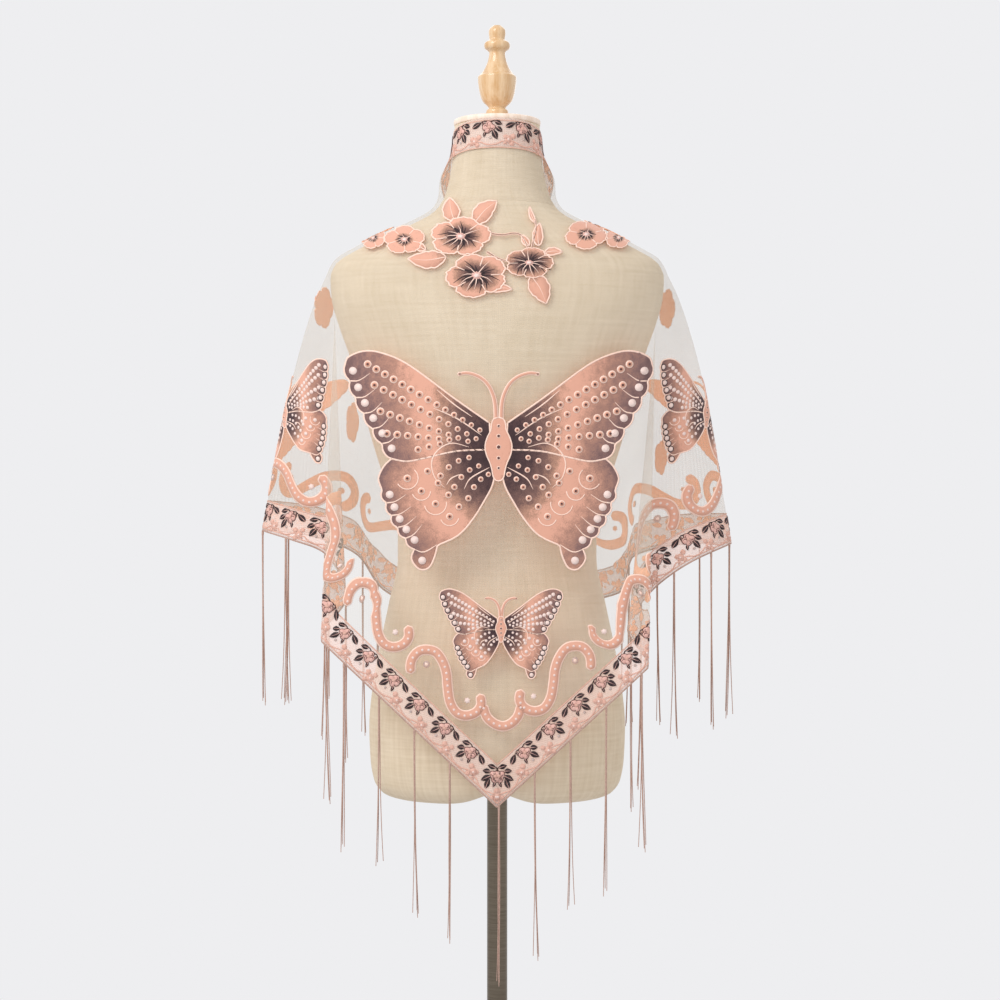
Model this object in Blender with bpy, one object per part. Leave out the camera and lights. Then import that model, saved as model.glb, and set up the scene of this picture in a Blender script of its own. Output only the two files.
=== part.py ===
"""Triangle shawl of printed net, worn on a limbless dress form.

The shawl's long edge stands round the neck and falls down both fronts. Its two short
edges meet in a point at the back. The back faces -Y, +X is the wearer's right, and the
floor is at z = 0. Sizes are in metres.
"""

import math
from collections import namedtuple

import bmesh
import bpy
from mathutils import Vector

# Cloth
WALL = 0.0012
SEAM_GAP = 0.0003
SEAM_STEP = 0.0004
BAND_WIDTH = 0.036
NECK_CLEARANCE = 0.0008
SHOULDER_CLEARANCE = 0.0042
HANG_CLEARANCE = 0.004
COLLAR_FOOT = 1.455
COLLAR_REST = 1.485
COLLAR_EASE = 0.007
COLLAR_EASE_HEIGHT = 1.450
COLLAR_EASE_REACH = 0.022
COLLAR_EASE_START = 56
COLLAR_EASE_FULL = 90
NECK_HEIGHT = 1.43

# One row for each fold line, from the middle of the back to the front edge. neck_angle
# and drape_angle turn round the form from the back, on the neck and where the cloth
# leaves the form at leave_height. hem_x, hem_y and hem_height are the fold's lower end,
# belly is how far the fold bows outwards, and columns is the number of strips of cloth
# between it and the next fold. CREST is the row of the back's outer fold: the hem is
# straight from the point to it.
Fold = namedtuple(
    "Fold",
    "neck_angle drape_angle top_height leave_height hem_x hem_y hem_height belly columns",
)
RIGHT_FOLDS = (
    Fold(0, 0, 1.520, 1.270, 0.000, -0.136, 0.698, 0.003, 4),
    Fold(30, 25, 1.519, 1.288, 0.089, -0.134, 0.779, 0.004, 5),
    Fold(56, 60, 1.516, 1.318, 0.178, -0.126, 0.861, 0.004, 4),
    Fold(61, 69, 1.515, 1.325, 0.156, -0.092, 0.903, 0.001, 4),
    Fold(66, 76, 1.514, 1.330, 0.184, -0.062, 0.946, 0.001, 3),
    Fold(73, 85, 1.513, 1.335, 0.238, -0.050, 0.985, 0.007, 2),
    Fold(80, 93, 1.510, 1.337, 0.289, 0.002, 1.005, 0.011, 2),
    Fold(87, 102, 1.505, 1.331, 0.247, 0.060, 1.004, 0.007, 3),
    Fold(94, 114, 1.496, 1.305, 0.172, 0.088, 0.985, 0.002, 3),
    Fold(102, 130, 1.485, 1.258, 0.163, 0.150, 0.941, 0.006, 2),
    Fold(110, 143, 1.473, 1.218, 0.110, 0.160, 0.924, 0.004, 2),
    Fold(120, 154, 1.460, 1.195, 0.062, 0.152, 0.909, 0.003, 2),
    Fold(138, 167, 1.436, 1.180, 0.025, 0.148, 0.895, 0.003, 0),
)
LEFT_FOLDS = (
    Fold(0, 0, 1.520, 1.270, 0.000, -0.136, 0.698, 0.003, 4),
    Fold(30, 27, 1.519, 1.288, 0.103, -0.134, 0.795, 0.004, 5),
    Fold(56, 62, 1.516, 1.318, 0.207, -0.124, 0.892, 0.004, 4),
    Fold(61, 70, 1.515, 1.325, 0.180, -0.090, 0.943, 0.001, 4),
    Fold(66, 77, 1.514, 1.330, 0.209, -0.062, 0.995, 0.001, 3),
    Fold(73, 86, 1.513, 1.335, 0.249, -0.048, 1.010, 0.007, 2),
    Fold(80, 94, 1.510, 1.337, 0.290, 0.003, 1.021, 0.011, 2),
    Fold(87, 103, 1.505, 1.331, 0.250, 0.060, 1.016, 0.007, 3),
    Fold(94, 115, 1.496, 1.305, 0.180, 0.088, 0.990, 0.002, 3),
    Fold(102, 131, 1.485, 1.258, 0.152, 0.148, 0.945, 0.006, 2),
    Fold(110, 144, 1.473, 1.218, 0.108, 0.158, 0.918, 0.004, 2),
    Fold(120, 154, 1.460, 1.195, 0.070, 0.150, 0.895, 0.003, 2),
    Fold(138, 167, 1.436, 1.180, 0.034, 0.145, 0.876, 0.003, 0),
)
CREST = 2
PULL_SHARE = 0.15
STEEPEST_HEM = 1.15
LINE_SAMPLES = 48
BAND_ROWS = 2
LAID_ROWS = 9
HUNG_ROWS = 9

# Fringe
HEADING_DEPTH = 0.003
HEADING_DROP = 0.0010
TASSEL_SPACING = 0.057
FIRST_TASSEL = {1: 0.003, -1: 0.076}
TASSEL_LENGTH = 0.213
STRAND_WIDTH = 0.0018
STRAND_PARTING = 0.0012
STRAND_SWAY = 0.002
STRAND_TAPER = 0.7
STRAND_UNEVENNESS = 0.06
STOP_MARGIN = 0.0002

# Dress form. front and back are the half depths, and roundness is the exponent of each
# section's outline: 2 is an ellipse and more is squarer.
Section = namedtuple("Section", "height half_width front back roundness")
FORM_SECTIONS = (
    Section(0.691, 0.088, 0.045, 0.062, 2.2),
    Section(0.693, 0.124, 0.066, 0.088, 2.3),
    Section(0.700, 0.142, 0.078, 0.102, 2.4),
    Section(0.714, 0.1515, 0.086, 0.110, 2.4),
    Section(0.740, 0.1560, 0.092, 0.116, 2.4),
    Section(0.780, 0.1575, 0.097, 0.119, 2.4),
    Section(0.828, 0.1535, 0.101, 0.117, 2.3),
    Section(0.885, 0.1430, 0.103, 0.108, 2.3),
    Section(0.935, 0.1325, 0.098, 0.096, 2.3),
    Section(0.985, 0.1225, 0.090, 0.084, 2.2),
    Section(1.025, 0.1225, 0.092, 0.084, 2.2),
    Section(1.070, 0.1350, 0.103, 0.092, 2.2),
    Section(1.120, 0.1510, 0.120, 0.101, 2.2),
    Section(1.181, 0.1680, 0.129, 0.109, 2.2),
    Section(1.235, 0.1820, 0.117, 0.113, 2.2),
    Section(1.275, 0.1960, 0.103, 0.111, 2.3),
    Section(1.306, 0.2040, 0.092, 0.106, 2.4),
    Section(1.331, 0.2055, 0.083, 0.100, 2.4),
    Section(1.348, 0.1985, 0.077, 0.095, 2.4),
    Section(1.364, 0.1740, 0.070, 0.089, 2.3),
    Section(1.382, 0.1380, 0.064, 0.082, 2.2),
    Section(1.398, 0.1020, 0.060, 0.076, 2.1),
    Section(1.413, 0.0770, 0.057, 0.070, 2.0),
    Section(1.434, 0.0640, 0.054, 0.063, 2.0),
    Section(1.475, 0.0555, 0.052, 0.057, 2.0),
    Section(1.518, 0.0525, 0.051, 0.054, 2.0),
)
FORM_SIDES = 36
NOTCH_RISE = 0.015
NOTCH_HALF_WIDTH = 0.030
NOTCH_TOP = 0.714

# Stand and finial
NECK_CAP_RADIUS = 0.0535
NECK_CAP_THICKNESS = 0.0080
NECK_CAP_EDGE = 0.0022
POLE_RADIUS = 0.0125
SOCKET_RADIUS = 0.025
BASE_RADIUS = 0.165
BASE_THICKNESS = 0.008
BASE_CHAMFER = 0.003
HUB_RADIUS = 0.027
HUB_HEIGHT = 0.045
ROUND_SIDES = 32
FINIAL_SIDES = 20

# One row for each change of the finial's outline, upwards from its foot
Turning = namedtuple("Turning", "rise radius")
FINIAL_TURNINGS = (
    Turning(0.0000, 0.0150),
    Turning(0.0040, 0.0156),
    Turning(0.0090, 0.0150),
    Turning(0.0120, 0.0128),
    Turning(0.0195, 0.0138),
    Turning(0.0290, 0.0180),
    Turning(0.0390, 0.0220),
    Turning(0.0460, 0.0236),
    Turning(0.0545, 0.0238),
    Turning(0.0590, 0.0232),
    Turning(0.0605, 0.0200),
    Turning(0.0650, 0.0152),
    Turning(0.0730, 0.0116),
    Turning(0.0820, 0.0099),
    Turning(0.0850, 0.0112),
    Turning(0.0880, 0.0150),
    Turning(0.0920, 0.0160),
    Turning(0.0955, 0.0148),
    Turning(0.0985, 0.0101),
    Turning(0.1020, 0.0098),
    Turning(0.1070, 0.0104),
    Turning(0.1120, 0.0096),
    Turning(0.1165, 0.0050),
)

Finish = namedtuple("Finish", "red green blue roughness metallic")
NET = Finish(0.90, 0.74, 0.70, 0.7, 0.0)
PRINTED_BAND = Finish(0.86, 0.55, 0.42, 0.75, 0.0)
TASSEL_YARN = Finish(0.48, 0.30, 0.31, 0.8, 0.0)
LINEN = Finish(0.72, 0.61, 0.44, 0.9, 0.0)
LACQUERED_BEECH = Finish(0.74, 0.49, 0.22, 0.35, 0.0)
BRUSHED_STEEL = Finish(0.42, 0.39, 0.35, 0.35, 1.0)


def clear_scene():
    for thing in list(bpy.data.objects):
        bpy.data.objects.remove(thing, do_unlink=True)


def add_piece(name, shape, finish, smooth_angle=math.radians(40)):
    """Turns a bmesh into a named object with its own material."""
    bmesh.ops.recalc_face_normals(shape, faces=shape.faces)
    mesh = bpy.data.meshes.new(name)
    shape.to_mesh(mesh)
    shape.free()
    mesh.shade_smooth()
    mesh.set_sharp_from_angle(angle=smooth_angle)
    material = bpy.data.materials.new(name + "_finish")
    material.use_nodes = True
    shader = material.node_tree.nodes["Principled BSDF"]
    shader.inputs["Base Color"].default_value = (finish.red, finish.green, finish.blue, 1)
    shader.inputs["Roughness"].default_value = finish.roughness
    shader.inputs["Metallic"].default_value = finish.metallic
    mesh.materials.append(material)
    piece = bpy.data.objects.new(name, mesh)
    bpy.context.scene.collection.objects.link(piece)
    return piece


# Smooth curves through rows of a table

def slope_between(before, after):
    """Slope at a point from the slopes on its two sides, with no overshoot."""
    if before * after <= 0:
        return 0.0
    return 2 * before * after / (before + after)


def smooth_value(places, values, place):
    """Value at a place on the smooth curve that goes through all the values."""
    last = len(places) - 2
    span = 0
    while span < last and place > places[span + 1]:
        span += 1
    rises = [
        (values[k + 1] - values[k]) / (places[k + 1] - places[k])
        for k in range(max(span - 1, 0), min(span + 1, last) + 1)
    ]
    here = 1 if span > 0 else 0
    start = slope_between(rises[here - 1], rises[here]) if span > 0 else rises[here]
    end = slope_between(rises[here], rises[here + 1]) if span < last else rises[here]
    width = places[span + 1] - places[span]
    part = min(max((place - places[span]) / width, 0), 1)
    start_height = values[span] * (1 + 2 * part) * (1 - part) ** 2
    end_height = values[span + 1] * part ** 2 * (3 - 2 * part)
    start_slope = start * width * part * (1 - part) ** 2
    end_slope = end * width * part ** 2 * (part - 1)
    return start_height + end_height + start_slope + end_slope


def smooth_row(rows, places, place):
    """Row of a table at a place between two of its rows."""
    columns = zip(*rows)
    return type(rows[0])(*(smooth_value(places, column, place) for column in columns))


# Dress form

def form_section(height):
    return smooth_row(FORM_SECTIONS, [row.height for row in FORM_SECTIONS], height)


def form_point(angle, height):
    """Point on the form at an angle from the middle of the back, towards +X."""
    section = form_section(height)
    power = 2 / section.roundness
    across = abs(math.sin(angle)) ** power
    along = abs(math.cos(angle)) ** power
    depth = -section.back if math.cos(angle) > 0 else section.front
    return Vector((math.copysign(across, math.sin(angle)) * section.half_width, along * depth, height))


def form_normal(angle, height):
    step = 0.01
    lift = 0.002
    around = form_point(angle + step, height) - form_point(angle - step, height)
    up = form_point(angle, height + lift) - form_point(angle, height - lift)
    return around.cross(up).normalized()


def outside_form(point, clearance):
    """Moves a point straight out from the form's middle until it is clear of the form."""
    if point.z < FORM_SECTIONS[0].height:
        return point
    section = form_section(point.z)
    half_depth = section.front if point.y > 0 else section.back
    across = abs(point.x) / (section.half_width + clearance)
    along = abs(point.y) / (half_depth + clearance)
    reach = (across ** section.roundness + along ** section.roundness) ** (1 / section.roundness)
    if reach >= 1:
        return point
    return Vector((point.x / reach, point.y / reach, point.z))


def notch_rise(x, height):
    """How far the underside rises between the two rounded ends of the hips."""
    share = min(max((NOTCH_TOP - height) / (NOTCH_TOP - FORM_SECTIONS[0].height), 0), 1)
    return NOTCH_RISE * share * math.exp(-((x / NOTCH_HALF_WIDTH) ** 2))


def bridge(shape, lower, upper):
    """Joins two rings of vertices with a band of faces."""
    count = len(lower)
    for k in range(count):
        after = (k + 1) % count
        shape.faces.new((lower[k], lower[after], upper[after], upper[k]))


def build_form():
    shape = bmesh.new()
    socket_height = FORM_SECTIONS[0].height + NOTCH_RISE
    turns = [math.tau * k / FORM_SIDES for k in range(FORM_SIDES)]
    socket = [
        shape.verts.new((SOCKET_RADIUS * math.sin(t), -SOCKET_RADIUS * math.cos(t), socket_height))
        for t in turns
    ]
    rings = [socket]
    for section in FORM_SECTIONS:
        ring = []
        for turn in turns:
            point = form_point(turn, section.height)
            point.z += notch_rise(point.x, section.height)
            ring.append(shape.verts.new(point))
        rings.append(ring)
    for lower, upper in zip(rings, rings[1:]):
        bridge(shape, lower, upper)
    shape.faces.new(rings[0])
    shape.faces.new(rings[-1])
    return add_piece("form_torso", shape, LINEN)


# Cloth

def fold_at(folds, place):
    """Values of the fold table at a place between two of its rows."""
    fold = smooth_row(folds, list(range(len(folds))), place)
    if place > CREST:
        return fold
    tip = folds[0]
    rise = (folds[CREST].hem_height - tip.hem_height) / folds[CREST].hem_x
    return fold._replace(hem_height=tip.hem_height + rise * fold.hem_x)


def collar_ease(neck_angle, height):
    """How far the collar stands off the sides of the neck as it turns to the front."""
    turn = (neck_angle - COLLAR_EASE_START) / (COLLAR_EASE_FULL - COLLAR_EASE_START)
    turn = min(max(turn, 0), 1)
    return COLLAR_EASE * turn * math.exp(-(((height - COLLAR_EASE_HEIGHT) / COLLAR_EASE_REACH) ** 2))


def laid_point(fold, side, height):
    """Point of the cloth where it lies on the form."""
    leave = form_section(fold.leave_height).half_width
    neck = form_section(NECK_HEIGHT).half_width
    spread = (form_section(height).half_width - neck) / (leave - neck)
    spread = min(max(spread, 0), 1) if height > fold.leave_height else 1
    angle = math.radians(fold.neck_angle + (fold.drape_angle - fold.neck_angle) * spread)
    rest = min(max((height - COLLAR_FOOT) / (COLLAR_REST - COLLAR_FOOT), 0), 1)
    clearance = SHOULDER_CLEARANCE + (NECK_CLEARANCE - SHOULDER_CLEARANCE) * rest
    clearance += collar_ease(fold.neck_angle, height)
    return form_point(side * angle, height) + form_normal(side * angle, height) * clearance


def hung_point(fold, side, leaving, share):
    """Point of the cloth where it hangs free, at a share of the way down to the hem."""
    hem = Vector((side * fold.hem_x, fold.hem_y, fold.hem_height))
    angle = math.radians(fold.drape_angle)
    outwards = Vector((side * math.sin(angle), -math.cos(angle), 0))
    pull = leaving.lerp(hem, PULL_SHARE) + outwards * 2 * fold.belly
    point = leaving.lerp(pull, share).lerp(pull.lerp(hem, share), share)
    return outside_form(point, HANG_CLEARANCE * min(1, 0.6 + share))


def point_along(points, distance):
    """Point at a distance along a line of points."""
    for start, end in zip(points, points[1:]):
        length = (end - start).length
        if distance <= length:
            return start.lerp(end, distance / length)
        distance -= length
    return points[-1]


def line_length(points):
    return sum((end - start).length for start, end in zip(points, points[1:]))


def evenly(start, end, count):
    """The places that divide a stretch into equal steps, without its start."""
    return [start + (end - start) * k / count for k in range(1, count + 1)]


def cloth_column(folds, side, place, band_rise):
    """Points of the cloth from its neck edge down to its hem, one for each row."""
    fold = fold_at(folds, place)
    heights = [fold.top_height] + evenly(fold.top_height, fold.leave_height, LINE_SAMPLES)
    laid = [laid_point(fold, side, height) for height in heights]
    hung = [hung_point(fold, side, laid[-1], share) for share in evenly(0, 1, LINE_SAMPLES)]
    line = laid + hung
    leave = line_length(laid)
    length = line_length(line)
    places = [0.0]
    places += evenly(0, BAND_WIDTH, BAND_ROWS)
    places += evenly(BAND_WIDTH, leave, LAID_ROWS)
    places += evenly(leave, length - band_rise, HUNG_ROWS)
    places += evenly(length - band_rise, length, BAND_ROWS)
    return [point_along(line, distance) for distance in places]


def hem_slope(folds, place):
    """Rise of the hem for each metre along the cloth, at a place in the fold table."""
    step = 0.2
    before = fold_at(folds, max(place - step, 0))
    after = fold_at(folds, min(place + step, len(folds) - 1))
    run = math.hypot(after.hem_x - before.hem_x, after.hem_y - before.hem_y)
    return (after.hem_height - before.hem_height) / max(run, 0.001)


def side_columns(folds, side):
    """Columns of the cloth from the middle of the back to one front edge."""
    places = [0.0]
    for number, fold in enumerate(folds[:-1]):
        places += evenly(number, number + 1, fold.columns)
    columns = []
    for place in places:
        slope = min(abs(hem_slope(folds, place)), STEEPEST_HEM)
        band_rise = BAND_WIDTH * math.sqrt(1 + slope ** 2)
        columns.append(cloth_column(folds, side, place, band_rise))
    return columns


def cloth_grid():
    """All columns of the cloth, from the left front edge round the back to the right."""
    left = side_columns(LEFT_FOLDS, -1)
    right = side_columns(RIGHT_FOLDS, 1)
    return left[:0:-1] + right


def grid_normals(grid):
    """Outward normals of the grid's points, from the points beside each."""
    last_column = len(grid) - 1
    last_row = len(grid[0]) - 1
    normals = []
    for i in range(last_column + 1):
        column = []
        for j in range(last_row + 1):
            across = grid[min(i + 1, last_column)][j] - grid[max(i - 1, 0)][j]
            down = grid[i][min(j + 1, last_row)] - grid[i][max(j - 1, 0)]
            column.append(down.cross(across).normalized())
        normals.append(column)
    return normals


def step_off(grid, i, j, across, down):
    """Short step from a grid point along its row or its column, square to the other."""
    along = grid[i + across][j + down] - grid[i][j]
    last_column = len(grid) - 1
    last_row = len(grid[0]) - 1
    if down:
        seam = grid[min(i + 1, last_column)][j] - grid[max(i - 1, 0)][j]
    else:
        seam = grid[i][min(j + 1, last_row)] - grid[i][max(j - 1, 0)]
    slant = along.normalized().cross(seam.normalized()).length
    return along.normalized() * SEAM_STEP / max(slant, 0.5)


def parting(own_before, own_after, other_before, other_after):
    """Which way a seam's point moves: 1 onwards, -1 back, 0 not at all."""
    onwards = other_before and own_after and not (own_before and other_after)
    back = other_after and own_before and not (own_after and other_before)
    return int(onwards) - int(back)


def parted_point(grid, cells, others, i, j):
    """A grid point moved back a little where the piece meets another at a seam."""
    def has(group, columns, rows):
        return any((column, row) in group for column in columns for row in rows)

    left, right, above, below = (i - 1,), (i,), (j - 1,), (j,)
    columns, rows = left + right, above + below
    down = parting(
        has(cells, columns, above), has(cells, columns, below),
        has(others, columns, above), has(others, columns, below),
    )
    across = parting(
        has(cells, left, rows), has(cells, right, rows),
        has(others, left, rows), has(others, right, rows),
    )
    point = grid[i][j].copy()
    if down:
        point += step_off(grid, i, j, 0, down)
    if across:
        point += step_off(grid, i, j, across, 0)
    return point


def cloth_wall(grid, normals, cells, others):
    """A wall of cloth over some of the grid's cells, closed at its edges."""
    shape = bmesh.new()
    inner = {}
    outer = {}
    for i, j in sorted(cells):
        for corner in ((i, j), (i + 1, j), (i + 1, j + 1), (i, j + 1)):
            if corner not in inner:
                point = parted_point(grid, cells, others, *corner)
                normal = normals[corner[0]][corner[1]]
                inner[corner] = shape.verts.new(point)
                outer[corner] = shape.verts.new(point + normal * WALL)
    edges = {}
    for i, j in sorted(cells):
        ring = ((i, j), (i, j + 1), (i + 1, j + 1), (i + 1, j))
        shape.faces.new([outer[corner] for corner in ring])
        shape.faces.new([inner[corner] for corner in reversed(ring)])
        for start, end in zip(ring, ring[1:] + ring[:1]):
            edges[(start, end)] = None
    for start, end in edges:
        if (end, start) not in edges:
            add_rim(shape, inner, outer, start, end)
    return shape


def add_rim(shape, inner, outer, start, end):
    """Closes the wall's edge between two corners, split the same way on both sides of a seam."""
    corners = (outer[end], outer[start], inner[start], inner[end])
    if start < end:
        shape.faces.new((corners[0], corners[1], corners[2]))
        shape.faces.new((corners[2], corners[3], corners[0]))
    else:
        shape.faces.new((corners[1], corners[2], corners[3]))
        shape.faces.new((corners[3], corners[0], corners[1]))


def build_cloth(grid, normals):
    columns = len(grid) - 1
    rows = len(grid[0]) - 1
    middle = columns // 2
    front = RIGHT_FOLDS[-2].columns
    parts = {"top_band": set(), "hem_band_left": set(), "hem_band_right": set(), "net_panel": set()}
    for i in range(columns):
        for j in range(rows):
            if j < BAND_ROWS or i < front or i >= columns - front:
                name = "top_band"
            elif j >= rows - BAND_ROWS:
                name = "hem_band_left" if i < middle else "hem_band_right"
            else:
                name = "net_panel"
            parts[name].add((i, j))
    for name, cells in parts.items():
        others = set().union(*(other for key, other in parts.items() if key != name))
        finish = NET if name == "net_panel" else PRINTED_BAND
        add_piece(name, cloth_wall(grid, normals, cells, others), finish)


# Fringe

def tassel_strands(length, first):
    """Start and end of each strand's root along the hem, two strands to a tassel."""
    strands = []
    place = first
    while place < length - STRAND_WIDTH - STRAND_PARTING:
        for step in (-1, 1):
            middle = place + step * (STRAND_WIDTH + STRAND_PARTING) / 2
            strands.append((middle - STRAND_WIDTH / 2, middle + STRAND_WIDTH / 2))
        place += TASSEL_SPACING
    return [strand for strand in strands if strand[0] > 0]


def heading_stops(points, strands):
    """Places along the hem where the heading strip has a joint."""
    stops = {SEAM_GAP}
    distance = 0.0
    for start, end in zip(points, points[1:]):
        distance += (end - start).length
        stops.add(distance)
    for start, end in strands:
        stops = {stop for stop in stops if not start - STOP_MARGIN < stop < end + STOP_MARGIN}
        stops |= {start, end}
    return sorted(stops)


def build_fringe(name, hem, faces_out, side):
    """A heading strip just under the hem, with strands drawn down from its lower side."""
    strands = tassel_strands(line_length(hem), FIRST_TASSEL[side])
    stops = heading_stops(hem, strands)
    outer_hem = [point + normal * WALL for point, normal in zip(hem, faces_out)]
    stretch = line_length(outer_hem) / line_length(hem)
    shape = bmesh.new()
    rings = []
    for stop in stops:
        share = stop_share(hem, stop)
        inside = share_point(hem, share)
        outside = share_point(outer_hem, share)
        ring = []
        for point, drop in ((inside, 0), (outside, 0), (outside, 1), (inside, 1)):
            fall = HEADING_DROP + HEADING_DEPTH * drop
            ring.append(shape.verts.new(point - Vector((0, 0, fall))))
        rings.append(ring)
    lower_faces = {}
    for start, end, left, right in zip(stops, stops[1:], rings, rings[1:]):
        for k in range(4):
            after = (k + 1) % 4
            face = shape.faces.new((left[k], left[after], right[after], right[k]))
            if k == 2:
                lower_faces[(start, end)] = face
    shape.faces.new(rings[0])
    shape.faces.new(rings[-1])
    bmesh.ops.recalc_face_normals(shape, faces=shape.faces)
    for number, strand in enumerate(strands):
        draw_strand(shape, lower_faces[strand], number)
    return add_piece(name, shape, TASSEL_YARN)


def stop_share(points, stop):
    """Number of a point on a line, with its decimal part, at a distance along the line."""
    for number, (start, end) in enumerate(zip(points, points[1:])):
        length = (end - start).length
        if stop <= length:
            return number + stop / length
        stop -= length
    return len(points) - 1


def share_point(points, share):
    number = min(int(share), len(points) - 2)
    return points[number].lerp(points[number + 1], share - number)


def draw_strand(shape, face, number):
    """Draws one strand down from a face in two stretches, with a slight sway."""
    root = face.calc_center_median()
    length = TASSEL_LENGTH * (1 + STRAND_UNEVENNESS * math.sin(2.4 * number))
    for step in (1, 2):
        drawn = bmesh.ops.extrude_discrete_faces(shape, faces=[face])
        face = drawn["faces"][0]
        sway = STRAND_SWAY * step
        target = root + Vector(
            (
                sway * math.sin(1.9 * number + step),
                sway * math.sin(3.1 * number),
                -length * step / 2,
            )
        )
        middle = face.calc_center_median()
        scale = STRAND_TAPER ** step
        for vert in face.verts:
            offset = vert.co - middle
            offset.z = 0
            vert.co = target + offset * scale


# Stand

def turned_piece(name, outline, sides, finish, smooth_angle=math.radians(40)):
    """A solid turned round the Z axis from an outline of radius and height."""
    shape = bmesh.new()
    rings = []
    for radius, height in outline:
        turns = [math.tau * k / sides for k in range(sides)]
        rings.append([shape.verts.new((radius * math.cos(t), radius * math.sin(t), height)) for t in turns])
    for lower, upper in zip(rings, rings[1:]):
        bridge(shape, lower, upper)
    shape.faces.new(rings[0])
    shape.faces.new(rings[-1])
    return add_piece(name, shape, finish, smooth_angle)


def build_stand():
    hub_start = BASE_THICKNESS + SEAM_GAP
    hub_end = BASE_THICKNESS + HUB_HEIGHT
    socket_height = FORM_SECTIONS[0].height + NOTCH_RISE
    base = [
        (BASE_RADIUS - BASE_CHAMFER / 2, 0),
        (BASE_RADIUS, BASE_CHAMFER / 2),
        (BASE_RADIUS, BASE_THICKNESS - BASE_CHAMFER),
        (BASE_RADIUS - BASE_CHAMFER, BASE_THICKNESS),
        (HUB_RADIUS, hub_start),
        (HUB_RADIUS, hub_end - BASE_CHAMFER),
        (HUB_RADIUS - BASE_CHAMFER, hub_end),
    ]
    turned_piece("stand_base", base, ROUND_SIDES, BRUSHED_STEEL)
    pole = [(POLE_RADIUS, hub_end + SEAM_GAP), (POLE_RADIUS, socket_height - SEAM_GAP)]
    turned_piece("stand_pole", pole, ROUND_SIDES, BRUSHED_STEEL)


def build_neck_top():
    start = FORM_SECTIONS[-1].height + SEAM_GAP
    edge = NECK_CAP_EDGE
    cap = [
        (NECK_CAP_RADIUS - edge, start),
        (NECK_CAP_RADIUS - edge / 4, start + edge / 2),
        (NECK_CAP_RADIUS, start + edge * 1.5),
        (NECK_CAP_RADIUS, start + NECK_CAP_THICKNESS - edge),
        (NECK_CAP_RADIUS - edge / 3, start + NECK_CAP_THICKNESS - edge / 3),
        (NECK_CAP_RADIUS - edge, start + NECK_CAP_THICKNESS),
    ]
    turned_piece("neck_cap", cap, ROUND_SIDES, LACQUERED_BEECH)
    foot = start + NECK_CAP_THICKNESS + SEAM_GAP
    outline = [(row.radius, foot + row.rise) for row in FINIAL_TURNINGS]
    turned_piece("finial", outline, FINIAL_SIDES, LACQUERED_BEECH)


def main():
    clear_scene()
    build_form()
    build_stand()
    build_neck_top()
    grid = cloth_grid()
    normals = grid_normals(grid)
    build_cloth(grid, normals)
    middle = len(grid) // 2
    hem = [column[-1] for column in grid]
    faces_out = [column[-1] for column in normals]
    build_fringe("fringe_right", hem[middle:], faces_out[middle:], 1)
    build_fringe("fringe_left", hem[middle::-1], faces_out[middle::-1], -1)


main()
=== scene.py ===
"""Visual model of a triangle shawl of printed net, worn on a limbless dress form.

The shawl's long edge stands round the neck and falls down both fronts, and its two
fringed short edges meet in a point at the back. The back faces -Y, +X is the wearer's
right, the floor is at z = 0, and sizes are in metres.
"""

import logging
import math
from collections.abc import Callable, Iterable, Sequence
from dataclasses import dataclass, field
from enum import Enum
from typing import NamedTuple

import bmesh
import bpy
import numpy as np
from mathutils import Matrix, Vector
from mathutils.bvhtree import BVHTree


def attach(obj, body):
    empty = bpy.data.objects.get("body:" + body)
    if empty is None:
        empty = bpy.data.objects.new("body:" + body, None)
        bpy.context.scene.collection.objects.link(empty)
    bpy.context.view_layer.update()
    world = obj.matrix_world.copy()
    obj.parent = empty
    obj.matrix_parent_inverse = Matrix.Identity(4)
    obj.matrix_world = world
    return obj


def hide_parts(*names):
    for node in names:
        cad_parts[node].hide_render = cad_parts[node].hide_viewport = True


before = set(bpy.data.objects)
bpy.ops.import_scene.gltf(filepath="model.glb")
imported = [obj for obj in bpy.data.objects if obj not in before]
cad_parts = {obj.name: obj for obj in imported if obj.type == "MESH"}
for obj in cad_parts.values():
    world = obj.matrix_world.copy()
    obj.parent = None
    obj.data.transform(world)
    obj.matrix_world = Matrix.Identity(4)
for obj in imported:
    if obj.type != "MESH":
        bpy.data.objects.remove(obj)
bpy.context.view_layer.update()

LOG = logging.getLogger("shawl")
BODY = "root"
MM = 0.001
# Distances within which vertices count as one, in metres and in a drawing's millimetres
WELD = 1e-6
DRAWING_WELD = 1e-5

# UV map in metres
CLOTH_UV = "cloth"
Tree = bpy.types.NodeTree
Shader = bpy.types.Node
Socket = bpy.types.NodeSocket
Piece = bpy.types.Object
Shape = bmesh.types.BMesh
Vert = bmesh.types.BMVert
# A place in a drawing, or two ends
Pair = tuple[float, float]
# Puts a point of a drawing, in millimetres, on the cloth, and gives the normal there
Lay = Callable[[float, float], tuple[Vector, Vector]]
# Shade of the print at a point of a drawing
Shade = Callable[[float, float], float]
PEACH_SHADE = 0.56
# Width or radius at a share of the way, or at an angle
Size = Callable[[float], float]


class Slot(Enum):
    """Material slots of the record."""

    NET = "net"
    BAND = "printed_band"
    YARN = "tassel_yarn"
    LINEN = "linen"
    BEECH = "beech"
    STEEL = "steel"


class Side(Enum):
    """Which half of the shawl a piece is on: +X is the wearer's right."""

    LEFT = -1
    RIGHT = 1


class Hang(NamedTuple):
    """Where a fold line leaves the form on one side, and where it meets the hem."""

    drape_angle: float
    hem_x: float
    hem_y: float
    hem_height: float


class Fold(NamedTuple):
    """One fold line of the cloth, from the neck edge down to the hem."""

    neck_angle: float
    top_height: float
    leave_height: float
    belly: float
    columns: int
    right: Hang
    left: Hang


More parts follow.
